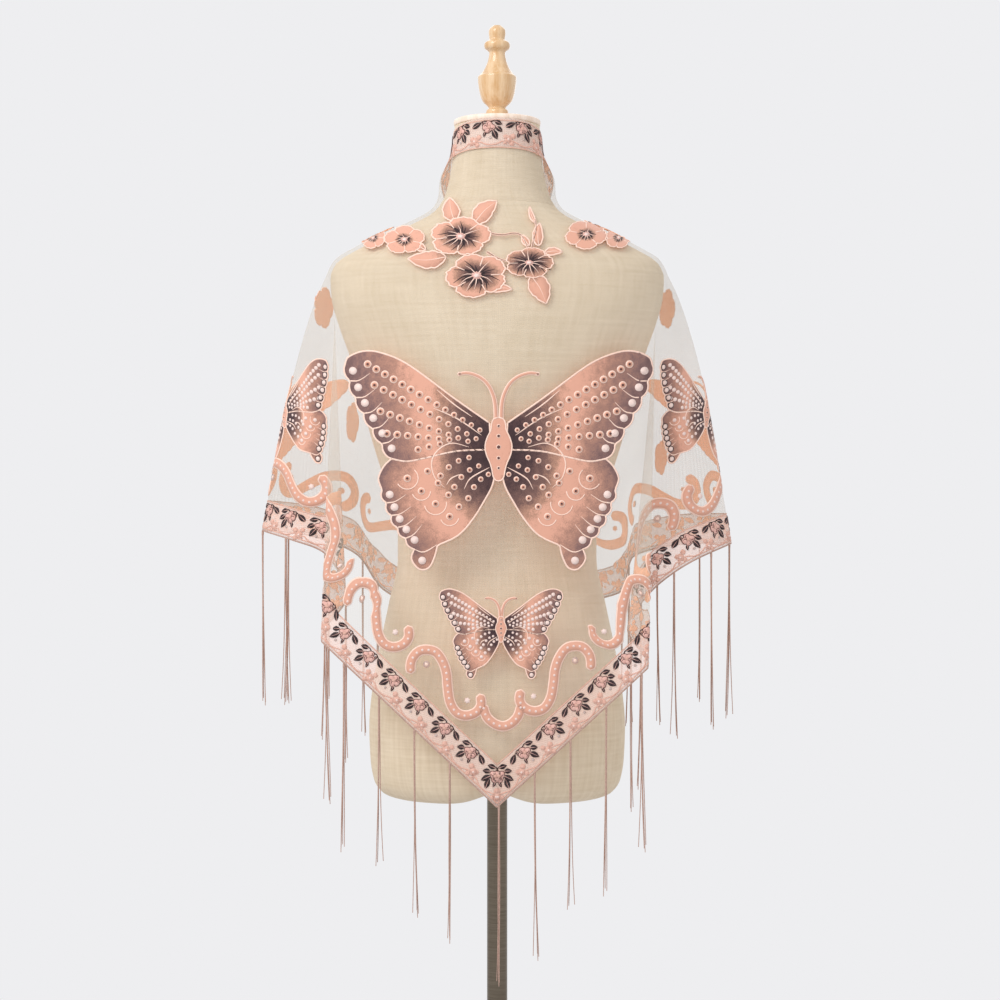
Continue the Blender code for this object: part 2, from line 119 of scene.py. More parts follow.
FOLDS = (
    Fold(0, 1.520, 1.270, 0.003, 4, Hang(0, 0.000, -0.136, 0.698), Hang(0, 0.000, -0.136, 0.698)),
    Fold(30, 1.519, 1.288, 0.004, 5, Hang(25, 0.089, -0.134, 0.779), Hang(27, 0.103, -0.134, 0.795)),
    Fold(56, 1.516, 1.318, 0.004, 4, Hang(60, 0.178, -0.126, 0.861), Hang(62, 0.207, -0.124, 0.892)),
    Fold(61, 1.515, 1.325, 0.001, 4, Hang(69, 0.156, -0.092, 0.903), Hang(70, 0.180, -0.090, 0.943)),
    Fold(66, 1.514, 1.330, 0.001, 3, Hang(76, 0.184, -0.062, 0.946), Hang(77, 0.209, -0.062, 0.995)),
    Fold(73, 1.513, 1.335, 0.007, 2, Hang(85, 0.238, -0.050, 0.985), Hang(86, 0.249, -0.048, 1.010)),
    Fold(80, 1.510, 1.337, 0.011, 2, Hang(93, 0.289, 0.002, 1.005), Hang(94, 0.290, 0.003, 1.021)),
    Fold(87, 1.505, 1.331, 0.007, 3, Hang(102, 0.247, 0.060, 1.004), Hang(103, 0.250, 0.060, 1.016)),
    Fold(94, 1.496, 1.305, 0.002, 3, Hang(114, 0.172, 0.088, 0.985), Hang(115, 0.180, 0.088, 0.990)),
    Fold(102, 1.485, 1.258, 0.006, 2, Hang(130, 0.163, 0.150, 0.941), Hang(131, 0.152, 0.148, 0.945)),
    Fold(110, 1.473, 1.218, 0.004, 2, Hang(143, 0.110, 0.160, 0.924), Hang(144, 0.108, 0.158, 0.918)),
    Fold(120, 1.460, 1.195, 0.003, 2, Hang(154, 0.062, 0.152, 0.909), Hang(154, 0.070, 0.150, 0.895)),
    Fold(138, 1.436, 1.180, 0.003, 0, Hang(167, 0.025, 0.148, 0.895), Hang(167, 0.034, 0.145, 0.876)),
)
# Places in the fold table: the outer fold of the back, the start of the front band, and its edge
CREST = 2
FRONT_BAND_START = len(FOLDS) - 2
FRONT_EDGE = len(FOLDS) - 1
# Share of the way from the form to the hem where a fold's pull sits, and steepest slope of the hem
PULL_SHARE = 0.15
STEEPEST_HEM = 1.15
BAND_WIDTH = 0.036
# Room between form and cloth at the neck, on the shoulders and where the cloth hangs free
NECK_CLEARANCE = 0.0008
SHOULDER_CLEARANCE = 0.0042
HANG_CLEARANCE = 0.004
# The cloth comes close to the neck from the collar's foot up to where it rests
COLLAR_FOOT = 1.455
COLLAR_REST = 1.485
# Further ease of the collar in front, by height and by angle from the back
COLLAR_EASE = 0.007
COLLAR_EASE_HEIGHT = 1.450
COLLAR_EASE_REACH = 0.022
COLLAR_EASE_START = 56
COLLAR_EASE_FULL = 90
NECK_HEIGHT = 1.43


class Section(NamedTuple):
    """Outline of the form at a height: half width, half depths and squareness."""

    height: float
    half_width: float
    front: float
    back: float
    roundness: float


FORM_SECTIONS = (
    Section(0.691, 0.088, 0.045, 0.062, 2.2),
    Section(0.693, 0.124, 0.066, 0.088, 2.3),
    Section(0.700, 0.142, 0.078, 0.102, 2.4),
    Section(0.714, 0.1515, 0.086, 0.110, 2.4),
    Section(0.740, 0.1560, 0.092, 0.116, 2.4),
    Section(0.780, 0.1575, 0.097, 0.119, 2.4),
    Section(0.828, 0.1535, 0.101, 0.117, 2.3),
    Section(0.885, 0.1430, 0.103, 0.108, 2.3),
    Section(0.935, 0.1325, 0.098, 0.096, 2.3),
    Section(0.985, 0.1225, 0.090, 0.084, 2.2),
    Section(1.025, 0.1225, 0.092, 0.084, 2.2),
    Section(1.070, 0.1350, 0.103, 0.092, 2.2),
    Section(1.120, 0.1510, 0.120, 0.101, 2.2),
    Section(1.181, 0.1680, 0.129, 0.109, 2.2),
    Section(1.235, 0.1820, 0.117, 0.113, 2.2),
    Section(1.275, 0.1960, 0.103, 0.111, 2.3),
    Section(1.306, 0.2040, 0.092, 0.106, 2.4),
    Section(1.331, 0.2055, 0.083, 0.100, 2.4),
    Section(1.348, 0.1985, 0.077, 0.095, 2.4),
    Section(1.364, 0.1740, 0.070, 0.089, 2.3),
    Section(1.382, 0.1380, 0.064, 0.082, 2.2),
    Section(1.398, 0.1020, 0.060, 0.076, 2.1),
    Section(1.413, 0.0770, 0.057, 0.070, 2.0),
    Section(1.434, 0.0640, 0.054, 0.063, 2.0),
    Section(1.475, 0.0555, 0.052, 0.057, 2.0),
    Section(1.518, 0.0525, 0.051, 0.054, 2.0),
)
# Arch in the middle of the form's lower edge, over the pole
NOTCH_RISE = 0.015
NOTCH_HALF_WIDTH = 0.030
NOTCH_TOP = 0.714
# Camera, and eye of the print that is laid as seen from it
EYE = (0.0035, -2.72, 1.0575)
# The finial's outline: height above its foot, and radius there
FINIAL_PROFILE = (
    *((0.0000, 0.0136), (0.0065, 0.0138), (0.0098, 0.0138), (0.0120, 0.0130)),
    *((0.0138, 0.0108), (0.0160, 0.0112), (0.0190, 0.0142), (0.0220, 0.0172)),
    *((0.0270, 0.0198), (0.0340, 0.0217), (0.0430, 0.0232), (0.0500, 0.0238)),
    *((0.0532, 0.0236), (0.0550, 0.0216), (0.0590, 0.0182), (0.0650, 0.0146)),
    *((0.0730, 0.0115), (0.0820, 0.0099), (0.0850, 0.0112), (0.0880, 0.0150)),
    *((0.0920, 0.0160), (0.0955, 0.0148), (0.0985, 0.0101), (0.1020, 0.0098)),
    (0.1070, 0.0104), (0.1120, 0.0096), (0.1165, 0.0050),
)


class Crease(NamedTuple):
    """A soft ridge of the cloth between two points, by arc round the body and height."""

    start_arc: float
    start_height: float
    end_arc: float
    end_height: float
    rise: float
    width: float


# Ridges run where the cloth hangs from the shoulder tips and along its outer folds
CREASES = (
    Crease(-0.190, 1.290, -0.188, 0.940, 0.0022, 0.006),
    Crease(0.176, 1.285, 0.170, 0.910, 0.0020, 0.006),
    Crease(-0.236, 1.310, -0.300, 1.060, 0.0030, 0.011),
    Crease(0.232, 1.305, 0.292, 1.040, 0.0028, 0.010),
    Crease(-0.262, 1.300, -0.352, 1.070, 0.0024, 0.013),
    Crease(0.268, 1.310, 0.366, 1.080, 0.0030, 0.014),
    Crease(-0.330, 1.270, -0.455, 1.010, 0.0034, 0.012),
    Crease(0.324, 1.270, 0.440, 0.990, 0.0030, 0.012),
    Crease(-0.400, 1.250, -0.530, 0.960, 0.0036, 0.014),
    Crease(0.392, 1.260, 0.512, 0.960, 0.0034, 0.015),
    Crease(-0.150, 1.330, -0.182, 1.240, 0.0010, 0.008),
    Crease(0.148, 1.335, 0.172, 1.240, 0.0010, 0.008),
)


def smooth_table(places: Sequence[float], rows: np.ndarray, at: np.ndarray) -> np.ndarray:
    """Reads a table between its rows, on smooth curves that don't overshoot.

    Args:
        places: Place of each row, rising.
        rows: Values, one row for each place.
        at: Places to read, of any shape.

    Returns:
        Values with one more axis than at.
    """
    places = np.asarray(places, float)
    rows = np.asarray(rows, float)
    at = np.clip(np.asarray(at, float), places[0], places[-1])
    rises = np.diff(rows, axis=0) / np.diff(places)[:, None]
    product = rises[:-1] * rises[1:]
    total = np.where(product > 0, rises[:-1] + rises[1:], 1)
    inner = np.where(product > 0, 2 * product / total, 0)
    slopes = np.vstack([rises[:1], inner, rises[-1:]])
    span = np.clip(np.searchsorted(places, at) - 1, 0, len(places) - 2)
    width = (places[span + 1] - places[span])[..., None]
    part = (at - places[span])[..., None] / width
    start = rows[span] * (1 + 2 * part) * (1 - part) ** 2
    end = rows[span + 1] * part**2 * (3 - 2 * part)
    lean = slopes[span] * part * (1 - part) ** 2 + slopes[span + 1] * part**2 * (part - 1)
    return start + end + lean * width


def unit(vectors: np.ndarray) -> np.ndarray:
    """Vectors along the last axis made one long."""
    length = np.linalg.norm(vectors, axis=-1, keepdims=True)
    return vectors / np.maximum(length, 1e-12)


def smooth_path(points: Sequence[Sequence[float]], steps: int = 6) -> np.ndarray:
    """A curve that runs smoothly through some points.

    Args:
        points: Points of two or three coordinates.
        steps: Number of steps between two of them.

    Returns:
        Points along the curve.
    """
    nodes = np.asarray(points, float)
    ends = np.vstack([2 * nodes[0] - nodes[1], nodes, 2 * nodes[-1] - nodes[-2]])
    curve = [nodes[0]]
    for before, start, end, after in zip(ends, ends[1:], ends[2:], ends[3:]):
        for step in range(1, steps + 1):
            t = step / steps
            straight = 2 * start + (end - before) * t
            square = (2 * before - 5 * start + 4 * end - after) * t**2
            curve.append(0.5 * (straight + square + (3 * start - before - 3 * end + after) * t**3))
    return np.array(curve)


def path_distances(path: np.ndarray) -> np.ndarray:
    """Distance of each point of a path from its start."""
    return np.concatenate([[0.0], np.cumsum(np.linalg.norm(np.diff(path, axis=0), axis=1))])


def even_path(path: np.ndarray, distances: np.ndarray) -> np.ndarray:
    """Points of a path at given distances along it."""
    along = path_distances(path)
    return np.stack([np.interp(distances, along, path[:, k]) for k in range(path.shape[1])], -1)


# Finishes


def linear(code: str) -> tuple[float, float, float, float]:
    """Turns an sRGB hex colour into Blender's linear one."""
    channels = (int(code[k : k + 2], 16) / 255 for k in (1, 3, 5))
    red, green, blue = (c / 12.92 if c <= 0.04045 else ((c + 0.055) / 1.055) ** 2.4 for c in channels)
    return red, green, blue, 1.0


def add_node(
    tree: Tree, kind: str, settings: dict[str | int, object] | None = None,
    links: dict[str | int, Socket] | None = None, output: str | int = 0,
) -> Socket:
    """Adds a node with its settings and its links.

    Args:
        tree: Node tree that gets the node.
        kind: Blender's name for the kind of node, without its ShaderNode.
        settings: Properties, and values of inputs by name or number.
        links: Sockets that feed the node's inputs, by name or number.
        output: Name or number of the output to give.

    Returns:
        The node's output.
    """
    node = tree.nodes.new(f"ShaderNode{kind}")
    for name, value in (settings or {}).items():
        if isinstance(name, str) and hasattr(node, name):
            setattr(node, name, value)
        else:
            node.inputs[name].default_value = value
    for name, socket in (links or {}).items():
        tree.links.new(socket, node.inputs[name])
    return node.outputs[output]


def colour_ramp(tree: Tree, stops: Sequence[tuple[float, str]], source: Socket) -> Socket:
    """Adds a colour ramp with hex colours.

    Args:
        tree: Material's node tree.
        stops: Places from 0 to 1, each with its colour.
        source: Place to read.

    Returns:
        Its colour.
    """
    colour = add_node(tree, "ValToRGB", links={0: source})
    elements = colour.node.color_ramp.elements
    while len(elements) < len(stops):
        elements.new(1.0)
    for element, (place, code) in zip(elements, stops):
        element.position = place
        element.color = linear(code)
    return colour


@dataclass(frozen=True)
class Finish:
    """A finish whose colour varies a little with a noise, on a surface with a fine relief."""

    name: str
    light: str
    dark: str
    roughness: float = 0.8
    metallic: float = 0.0
    sheen: float = 0.0
    coat: float = 0.0
    alpha: float = 1.0
    glow: float = 0.0
    grain: tuple[float, float, float] = (400.0, 400.0, 400.0)
    relief: float = 0.0001

    def material(self) -> bpy.types.Material:
        """Builds the node material, or gives the one that is there already.

        Returns:
            The material.
        """
        made = bpy.data.materials.get(self.name)
        if made:
            return made
        made = bpy.data.materials.new(self.name)
        made.use_nodes = True
        shader = made.node_tree.nodes["Principled BSDF"]
        values = {
            "Roughness": self.roughness,
            "Metallic": self.metallic,
            "Sheen Weight": self.sheen,
            "Coat Weight": self.coat,
            "Alpha": self.alpha,
            "Emission Strength": self.glow,
        }
        for name, value in values.items():
            shader.inputs[name].default_value = value
        self.paint(made.node_tree, shader)
        return made

    def paint(self, tree: Tree, shader: Shader) -> None:
        """Gives the shader its colour and relief.

        Args:
            tree: Material's node tree.
            shader: Its shader node.
        """
        place = add_node(tree, "TexCoord", output="Object")
        scaled = add_node(tree, "Mapping", {"Scale": self.grain}, {"Vector": place})
        grain = add_node(tree, "TexNoise", {"Scale": 1.0, "Detail": 3.0}, {"Vector": scaled})
        colour = self.tint(tree, shader, grain)
        # Painted light: the colour also glows, standing in for light that comes through the thin cloth from its
        # other side
        if self.glow:
            tree.links.new(colour, shader.inputs["Emission Color"])
        self.emboss(tree, shader, grain)

    def tint(self, tree: Tree, shader: Shader, source: Socket, full: float = 0.7) -> Socket:
        """Colours the shader from dark to light, by a noise."""
        colour = colour_ramp(tree, ((0.3, self.dark), (full, self.light)), source)
        tree.links.new(colour, shader.inputs["Base Color"])
        return colour

    def emboss(self, tree: Tree, shader: Shader, height: Socket) -> None:
        """Gives the shader a fine relief from a height."""
        bump = add_node(tree, "Bump", {"Strength": 0.6, "Distance": self.relief}, {"Height": height})
        tree.links.new(bump, shader.inputs["Normal"])


@dataclass(frozen=True)
class NetFinish(Finish):
    """Polyester bobbin net: nearly clear, with a fine honeycomb of pale threads."""

    hole_alpha: float = 0.09
    thread_alpha: float = 0.15
    # Real holes are about 1 mm, too fine to show, so the honeycomb is drawn at 2.4 mm
    hole_size: float = 0.0024

    def paint(self, tree: Tree, shader: Shader) -> None:
        """Gives the shader its colour, and lets light through the holes.

        Args:
            tree: Material's node tree.
            shader: Its shader node.
        """
        place = add_node(tree, "UVMap", {"uv_map": CLOTH_UV})
        holes = add_node(
            tree,
            "TexVoronoi",
            {"feature": "DISTANCE_TO_EDGE", "Scale": 1 / self.hole_size, "Randomness": 0.25},
            {"Vector": place},
        )
        threads = add_node(
            tree,
            "MapRange",
            {"From Min": 0.04, "From Max": 0.35, "To Min": self.thread_alpha, "To Max": self.hole_alpha},
            {"Value": holes},
        )
        tree.links.new(threads, shader.inputs["Alpha"])
        self.tint(tree, shader, add_node(tree, "TexNoise", {"Scale": 9.0, "Detail": 2.0}, {"Vector": place}))


@dataclass(frozen=True)
class PrintFinish(Finish):
    """Flocked print on net: velvety, shaded from near black through peach to mauve brown."""

    stops: tuple[tuple[float, str], ...] = ()

    def paint(self, tree: Tree, shader: Shader) -> None:
        """Gives the shader the print's shading, broken up by the flock's fine grain.

        Args:
            tree: Material's node tree.
            shader: Its shader node.
        """
        place = add_node(tree, "TexCoord", output="Object")
        # Flock lies in tufts of about 1 mm, in drifts of about 8 mm
        tufts = add_node(tree, "TexNoise", {"Scale": 900.0, "Detail": 2.0}, {"Vector": place})
        drifts = add_node(tree, "TexNoise", {"Scale": 120.0, "Detail": 2.0}, {"Vector": place})
        shade = add_node(tree, "Attribute", {"attribute_name": "shade"}, output="Fac")
        for noise, reach in ((tufts, 0.24), (drifts, 0.20)):
            shade = add_node(tree, "Math", {"operation": "MULTIPLY_ADD", 1: reach}, {0: noise, 2: shade})
        shade = add_node(tree, "Math", {"operation": "SUBTRACT", "use_clamp": True, 1: 0.22}, {0: shade})
        tree.links.new(colour_ramp(tree, self.stops, shade), shader.inputs["Base Color"])
        self.emboss(tree, shader, tufts)


@dataclass(frozen=True)
class LinenFinish(Finish):
    """Plain-woven unbleached linen, matt, with slubs along both threads."""

    # Threads are about 0.5 mm apart, so they are drawn at 1.5 mm to show
    thread: float = 0.0015

    def paint(self, tree: Tree, shader: Shader) -> None:
        """Gives the shader its weave and slubs.

        Args:
            tree: Material's node tree.
            shader: Its shader node.
        """
        place = add_node(tree, "UVMap", {"uv_map": CLOTH_UV})
        slubs, waves = [], []
        # Slubs are about 4 mm wide and 55 mm long
        for direction, stretch in (("X", (260.0, 18.0, 1.0)), ("Y", (18.0, 260.0, 1.0))):
            scaled = add_node(tree, "Mapping", {"Scale": stretch}, {"Vector": place})
            slubs.append(add_node(tree, "TexNoise", {"Scale": 1.0}, {"Vector": scaled}))
            bands = {"bands_direction": direction, "Scale": 1 / (self.thread * math.tau), "Distortion": 0.6}
            waves.append(add_node(tree, "TexWave", bands, {"Vector": place}, output=1))
        slub = add_node(tree, "Math", {"operation": "ADD"}, {0: slubs[0], 1: slubs[1]})
        half = add_node(tree, "Math", {"operation": "MULTIPLY", 1: 0.5}, {0: slub})
        self.tint(tree, shader, half, 0.75)
        weave = add_node(tree, "Math", {"operation": "MAXIMUM"}, {0: waves[0], 1: waves[1]})
        self.emboss(tree, shader, weave)


@dataclass(frozen=True)
class WoodFinish(Finish):
    """Turned beech under clear lacquer: fine rings and short dark flecks along the grain."""

    def paint(self, tree: Tree, shader: Shader) -> None:
        """Gives the shader the grain, along the turning's axis.

        Args:
            tree: Material's node tree.
            shader: Its shader node.
        """
        place = add_node(tree, "TexCoord", output="Object")
        # Growth rings about 12 mm apart, cut lengthwise by the turning
        scaled = add_node(tree, "Mapping", {"Scale": (42.0, 42.0, 4.0)}, {"Vector": place})
        wave = {"Scale": 0.55, "Distortion": 3.0, "Detail": 2.0}
        rings = add_node(tree, "TexWave", wave, {"Vector": scaled}, output=1)
        flecks = add_node(tree, "TexNoise", {"Scale": 9.0, "Detail": 4.0}, {"Vector": scaled})
        both = add_node(tree, "Math", {"operation": "MULTIPLY_ADD", 1: 0.3}, {0: rings, 2: flecks})
        self.tint(tree, shader, both, 0.85)
        self.emboss(tree, shader, flecks)


# The net's threads are a warm white that the print's peach tints
TULLE = NetFinish("tulle_net", "#E2DACC", "#CFC5B4")
# The border is the same net under a pale backing print, so more of it stops the light
BAND_GROUND = NetFinish("band_ground", "#FBE4DA", "#F3D3C6", hole_alpha=0.32, thread_alpha=0.46)
FLOCK = PrintFinish(
    "flock_print",
    "",
    "",
    roughness=0.85,
    sheen=0.15,
    relief=0.00015,
    stops=(
        *((0.00, "#2B1A1C"), (0.14, "#432C2E"), (0.30, "#77574F"), (0.42, "#B0846F"), (0.52, "#DCA48D")),
        *((0.62, "#D9A18A"), (0.74, "#A97D6C"), (0.87, "#7E5F5B"), (1.00, "#553C3E")),
    ),
)
# The wrong side glows with painted light, for the light that comes through the thin cloth from behind
WRONG_SIDE = Finish("flock_wrong_side", "#F3BC9B", "#E6A781", roughness=0.9, glow=0.28)
# Smooth pigment prints over the flock
PALE_OUTLINE = Finish("pale_outline_print", "#F9DACA", "#F3CDBA", roughness=0.6)
PALE_DOT = Finish("pale_dot_print", "#F1DBD2", "#E6C9BF", roughness=0.5)
PEACH_SPOT = Finish("peach_print", "#E2A890", "#D89C84")
NEAR_BLACK = Finish("near_black_print", "#3A2628", "#241416", roughness=0.75)
BROWN_DOT = Finish("brown_print", "#6E463F", "#54332F")
ROSE = Finish("dusty_rose_print", "#E6BBAE", "#D6A195", roughness=0.75)
BLUSH = Finish("blush_print", "#EBBFAE", "#E3B09D", roughness=0.75, alpha=0.8)
TAN_DOT = Finish("tan_dot_print", "#B08A78", "#98705F")
EDGE_LINE = Finish("border_line_print", "#E3B7A4", "#D2A18D")
# Flat clear plastic, glued on
SEQUIN = Finish("clear_sequin", "#C9C2BE", "#ADA4A0", roughness=0.15, metallic=0.1, coat=0.6, alpha=0.6)
# Spun viscose
YARN = Finish("spun_tassel_yarn", "#C5A293", "#A58678", roughness=0.85, grain=(900.0, 900.0, 500.0))
LINEN = LinenFinish("unbleached_linen", "#E4D4BB", "#D1BEA1", roughness=0.92, relief=0.00012)
BEECH = WoodFinish("lacquered_beech", "#DFBF97", "#C99C66", roughness=0.32, coat=0.5, relief=0.00003)
CAP_BEECH = WoodFinish("limed_beech", "#F5E2D2", "#E6CDB7", roughness=0.5, relief=0.00003)
# Brushed round, so its scratches run across
STEEL = Finish(
    "brushed_steel",
    "#7A7062",
    "#645B4F",
    roughness=0.3,
    metallic=1.0,
    grain=(30.0, 30.0, 1500.0),
    relief=0.00002,
)
STUDIO = Finish("studio_floor", "#D6D6D9", "#D3D3D6", roughness=0.9, grain=(3.0, 3.0, 3.0))


# Meshes


def weld(shape: Shape, distance: float = WELD) -> None:
    """Joins the vertices that lie on each other."""
    bmesh.ops.remove_doubles(shape, verts=shape.verts[:], dist=distance)


def bend_grid(
    shape: Shape, across: int, along: int, place: Callable[[float, float], Sequence[float]]
) -> list[Vert]:
    """Makes a grid and bends it into place.

    Args:
        shape: Mesh that gets the grid.
        across: Number of faces across.
        along: Number of faces along.
        place: Gives each point from its shares across and along.

    Returns:
        The grid's vertices.
    """
    made = bmesh.ops.create_grid(shape, x_segments=across, y_segments=along, size=0.5)["verts"]
    for vert in made:
        vert.co = Vector(place(vert.co.x + 0.5, vert.co.y + 0.5))
    return made


def add_tube(shape: Shape, path: np.ndarray, radius: Size, sides: int) -> list[Vert]:
    """Adds a closed tube along a path.

    Args:
        shape: Mesh that gets the tube.
        path: Points of its middle line.
        radius: Radius at a share of the way along.
        sides: Number of its sides.

    Returns:
        The tube's vertices.
    """
    steps = len(path) - 1
    tangents = unit(np.gradient(path, axis=0))
    aside = np.array((1.0, 0.0, 0.0)) if abs(tangents[0][0]) < 0.8 else np.array((0.0, 0.0, 1.0))
    firsts = unit(np.cross(tangents, aside))
    seconds = np.cross(tangents, firsts)

    def place(around: float, along: float) -> np.ndarray:
        """Point of the tube's wall.

        Args:
            around: Share of the way round.
            along: Share of the way along.

        Returns:
            The point.
        """
        number = round(along * steps)
        turn = around * math.tau
        out = firsts[number] * math.cos(turn) + seconds[number] * math.sin(turn)
        return path[number] + out * radius(along)

    verts = bend_grid(shape, sides, steps, place)
    bmesh.ops.remove_doubles(shape, verts=verts, dist=WELD)
    verts = [vert for vert in verts if vert.is_valid]
    ends = [edge for vert in verts for edge in vert.link_edges if edge.is_boundary]
    bmesh.ops.holes_fill(shape, edges=list(dict.fromkeys(ends)), sides=sides)
    return verts


def turned(shape: Shape, outline: Sequence[Pair], sides: int) -> None:
    """Spins an outline of radius and height round the Z axis, with closed ends.

    Args:
        shape: Mesh that gets it.
        outline: Radius and height of its nodes, upwards.
        sides: Number of its sides.
    """
    nodes = [(0.0, outline[0][1]), *outline, (0.0, outline[-1][1])]
    verts = [shape.verts.new((radius, 0.0, height)) for radius, height in nodes]
    edges = [shape.edges.new(pair) for pair in zip(verts, verts[1:])]
    bmesh.ops.spin(
        shape, geom=verts + edges, axis=(0, 0, 1), cent=(0, 0, 0), angle=math.tau, steps=sides, use_merge=True
    )
    weld(shape)
    bmesh.ops.recalc_face_normals(shape, faces=shape.faces[:])


def rounded_corner(radius: float, height: float, edge: float) -> list[Pair]:
    """Outline of the rounded upper edge of a turned form."""
    return [(radius, height - edge), (radius - edge / 3, height - edge / 3), (radius - edge, height)]


def smooth_outline(outline: Sequence[Pair], steps: int) -> list[Pair]:
    """A finer outline through the nodes of a turned one."""
    return [(max(float(radius), 0.0), float(height)) for radius, height in smooth_path(outline, steps)]


def new_piece(
    name: str, shape: Shape, finishes: Iterable[Finish], slot: Slot,
    nodes: Sequence[str] = (), sharp: float = 40.0,
) -> Piece:
    """Turns a mesh into a named piece of the object.

    Args:
        name: Name of the piece.
        shape: Mesh to use up.
        finishes: Its finishes, in the order of the faces' material numbers.
        slot: Material slot; not used.
        nodes: CAD nodes that it stands for.
        sharp: Angle in degrees past which an edge stays sharp.

    Returns:
        The new object.
    """
    mesh = bpy.data.meshes.new(name)
    shape.to_mesh(mesh)
    shape.free()
    mesh.shade_smooth()
    mesh.set_sharp_from_angle(angle=math.radians(sharp))
    for finish in finishes:
        mesh.materials.append(finish.material())
    piece = bpy.data.objects.new(name, mesh)
    bpy.context.scene.collection.objects.link(piece)
    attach(piece, BODY)
    if nodes:
        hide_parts(*nodes)
    LOG.info("%s: %d faces", name, len(mesh.polygons))
    return piece


def add_wall(piece: Piece, thickness: float, inner_material: int = 0) -> None:
    """Gives a sheet a wall on its inner side.

    Args:
        piece: Sheet that gets the wall.
        thickness: Thickness of the wall.
        inner_material: Material number of the inner side.
    """
    wall = piece.modifiers.new("wall", "SOLIDIFY")
    wall.thickness = thickness
    wall.offset = -1.0
    wall.material_offset = inner_material


def write_uv(shape: Shape, places: dict[Vert, Pair]) -> None:
    """Writes places in metres to the cloth's UV map, so that a weave has its real size.

    Args:
        shape: Mesh that gets it.
        places: Place of each vertex.
    """
    layer = shape.loops.layers.uv.get(CLOTH_UV) or shape.loops.layers.uv.new(CLOTH_UV)
    for face in shape.faces:
        if face.verts[0] in places:
            for loop in face.loops:
                loop[layer].uv = places[loop.vert]


# Dress form and stand


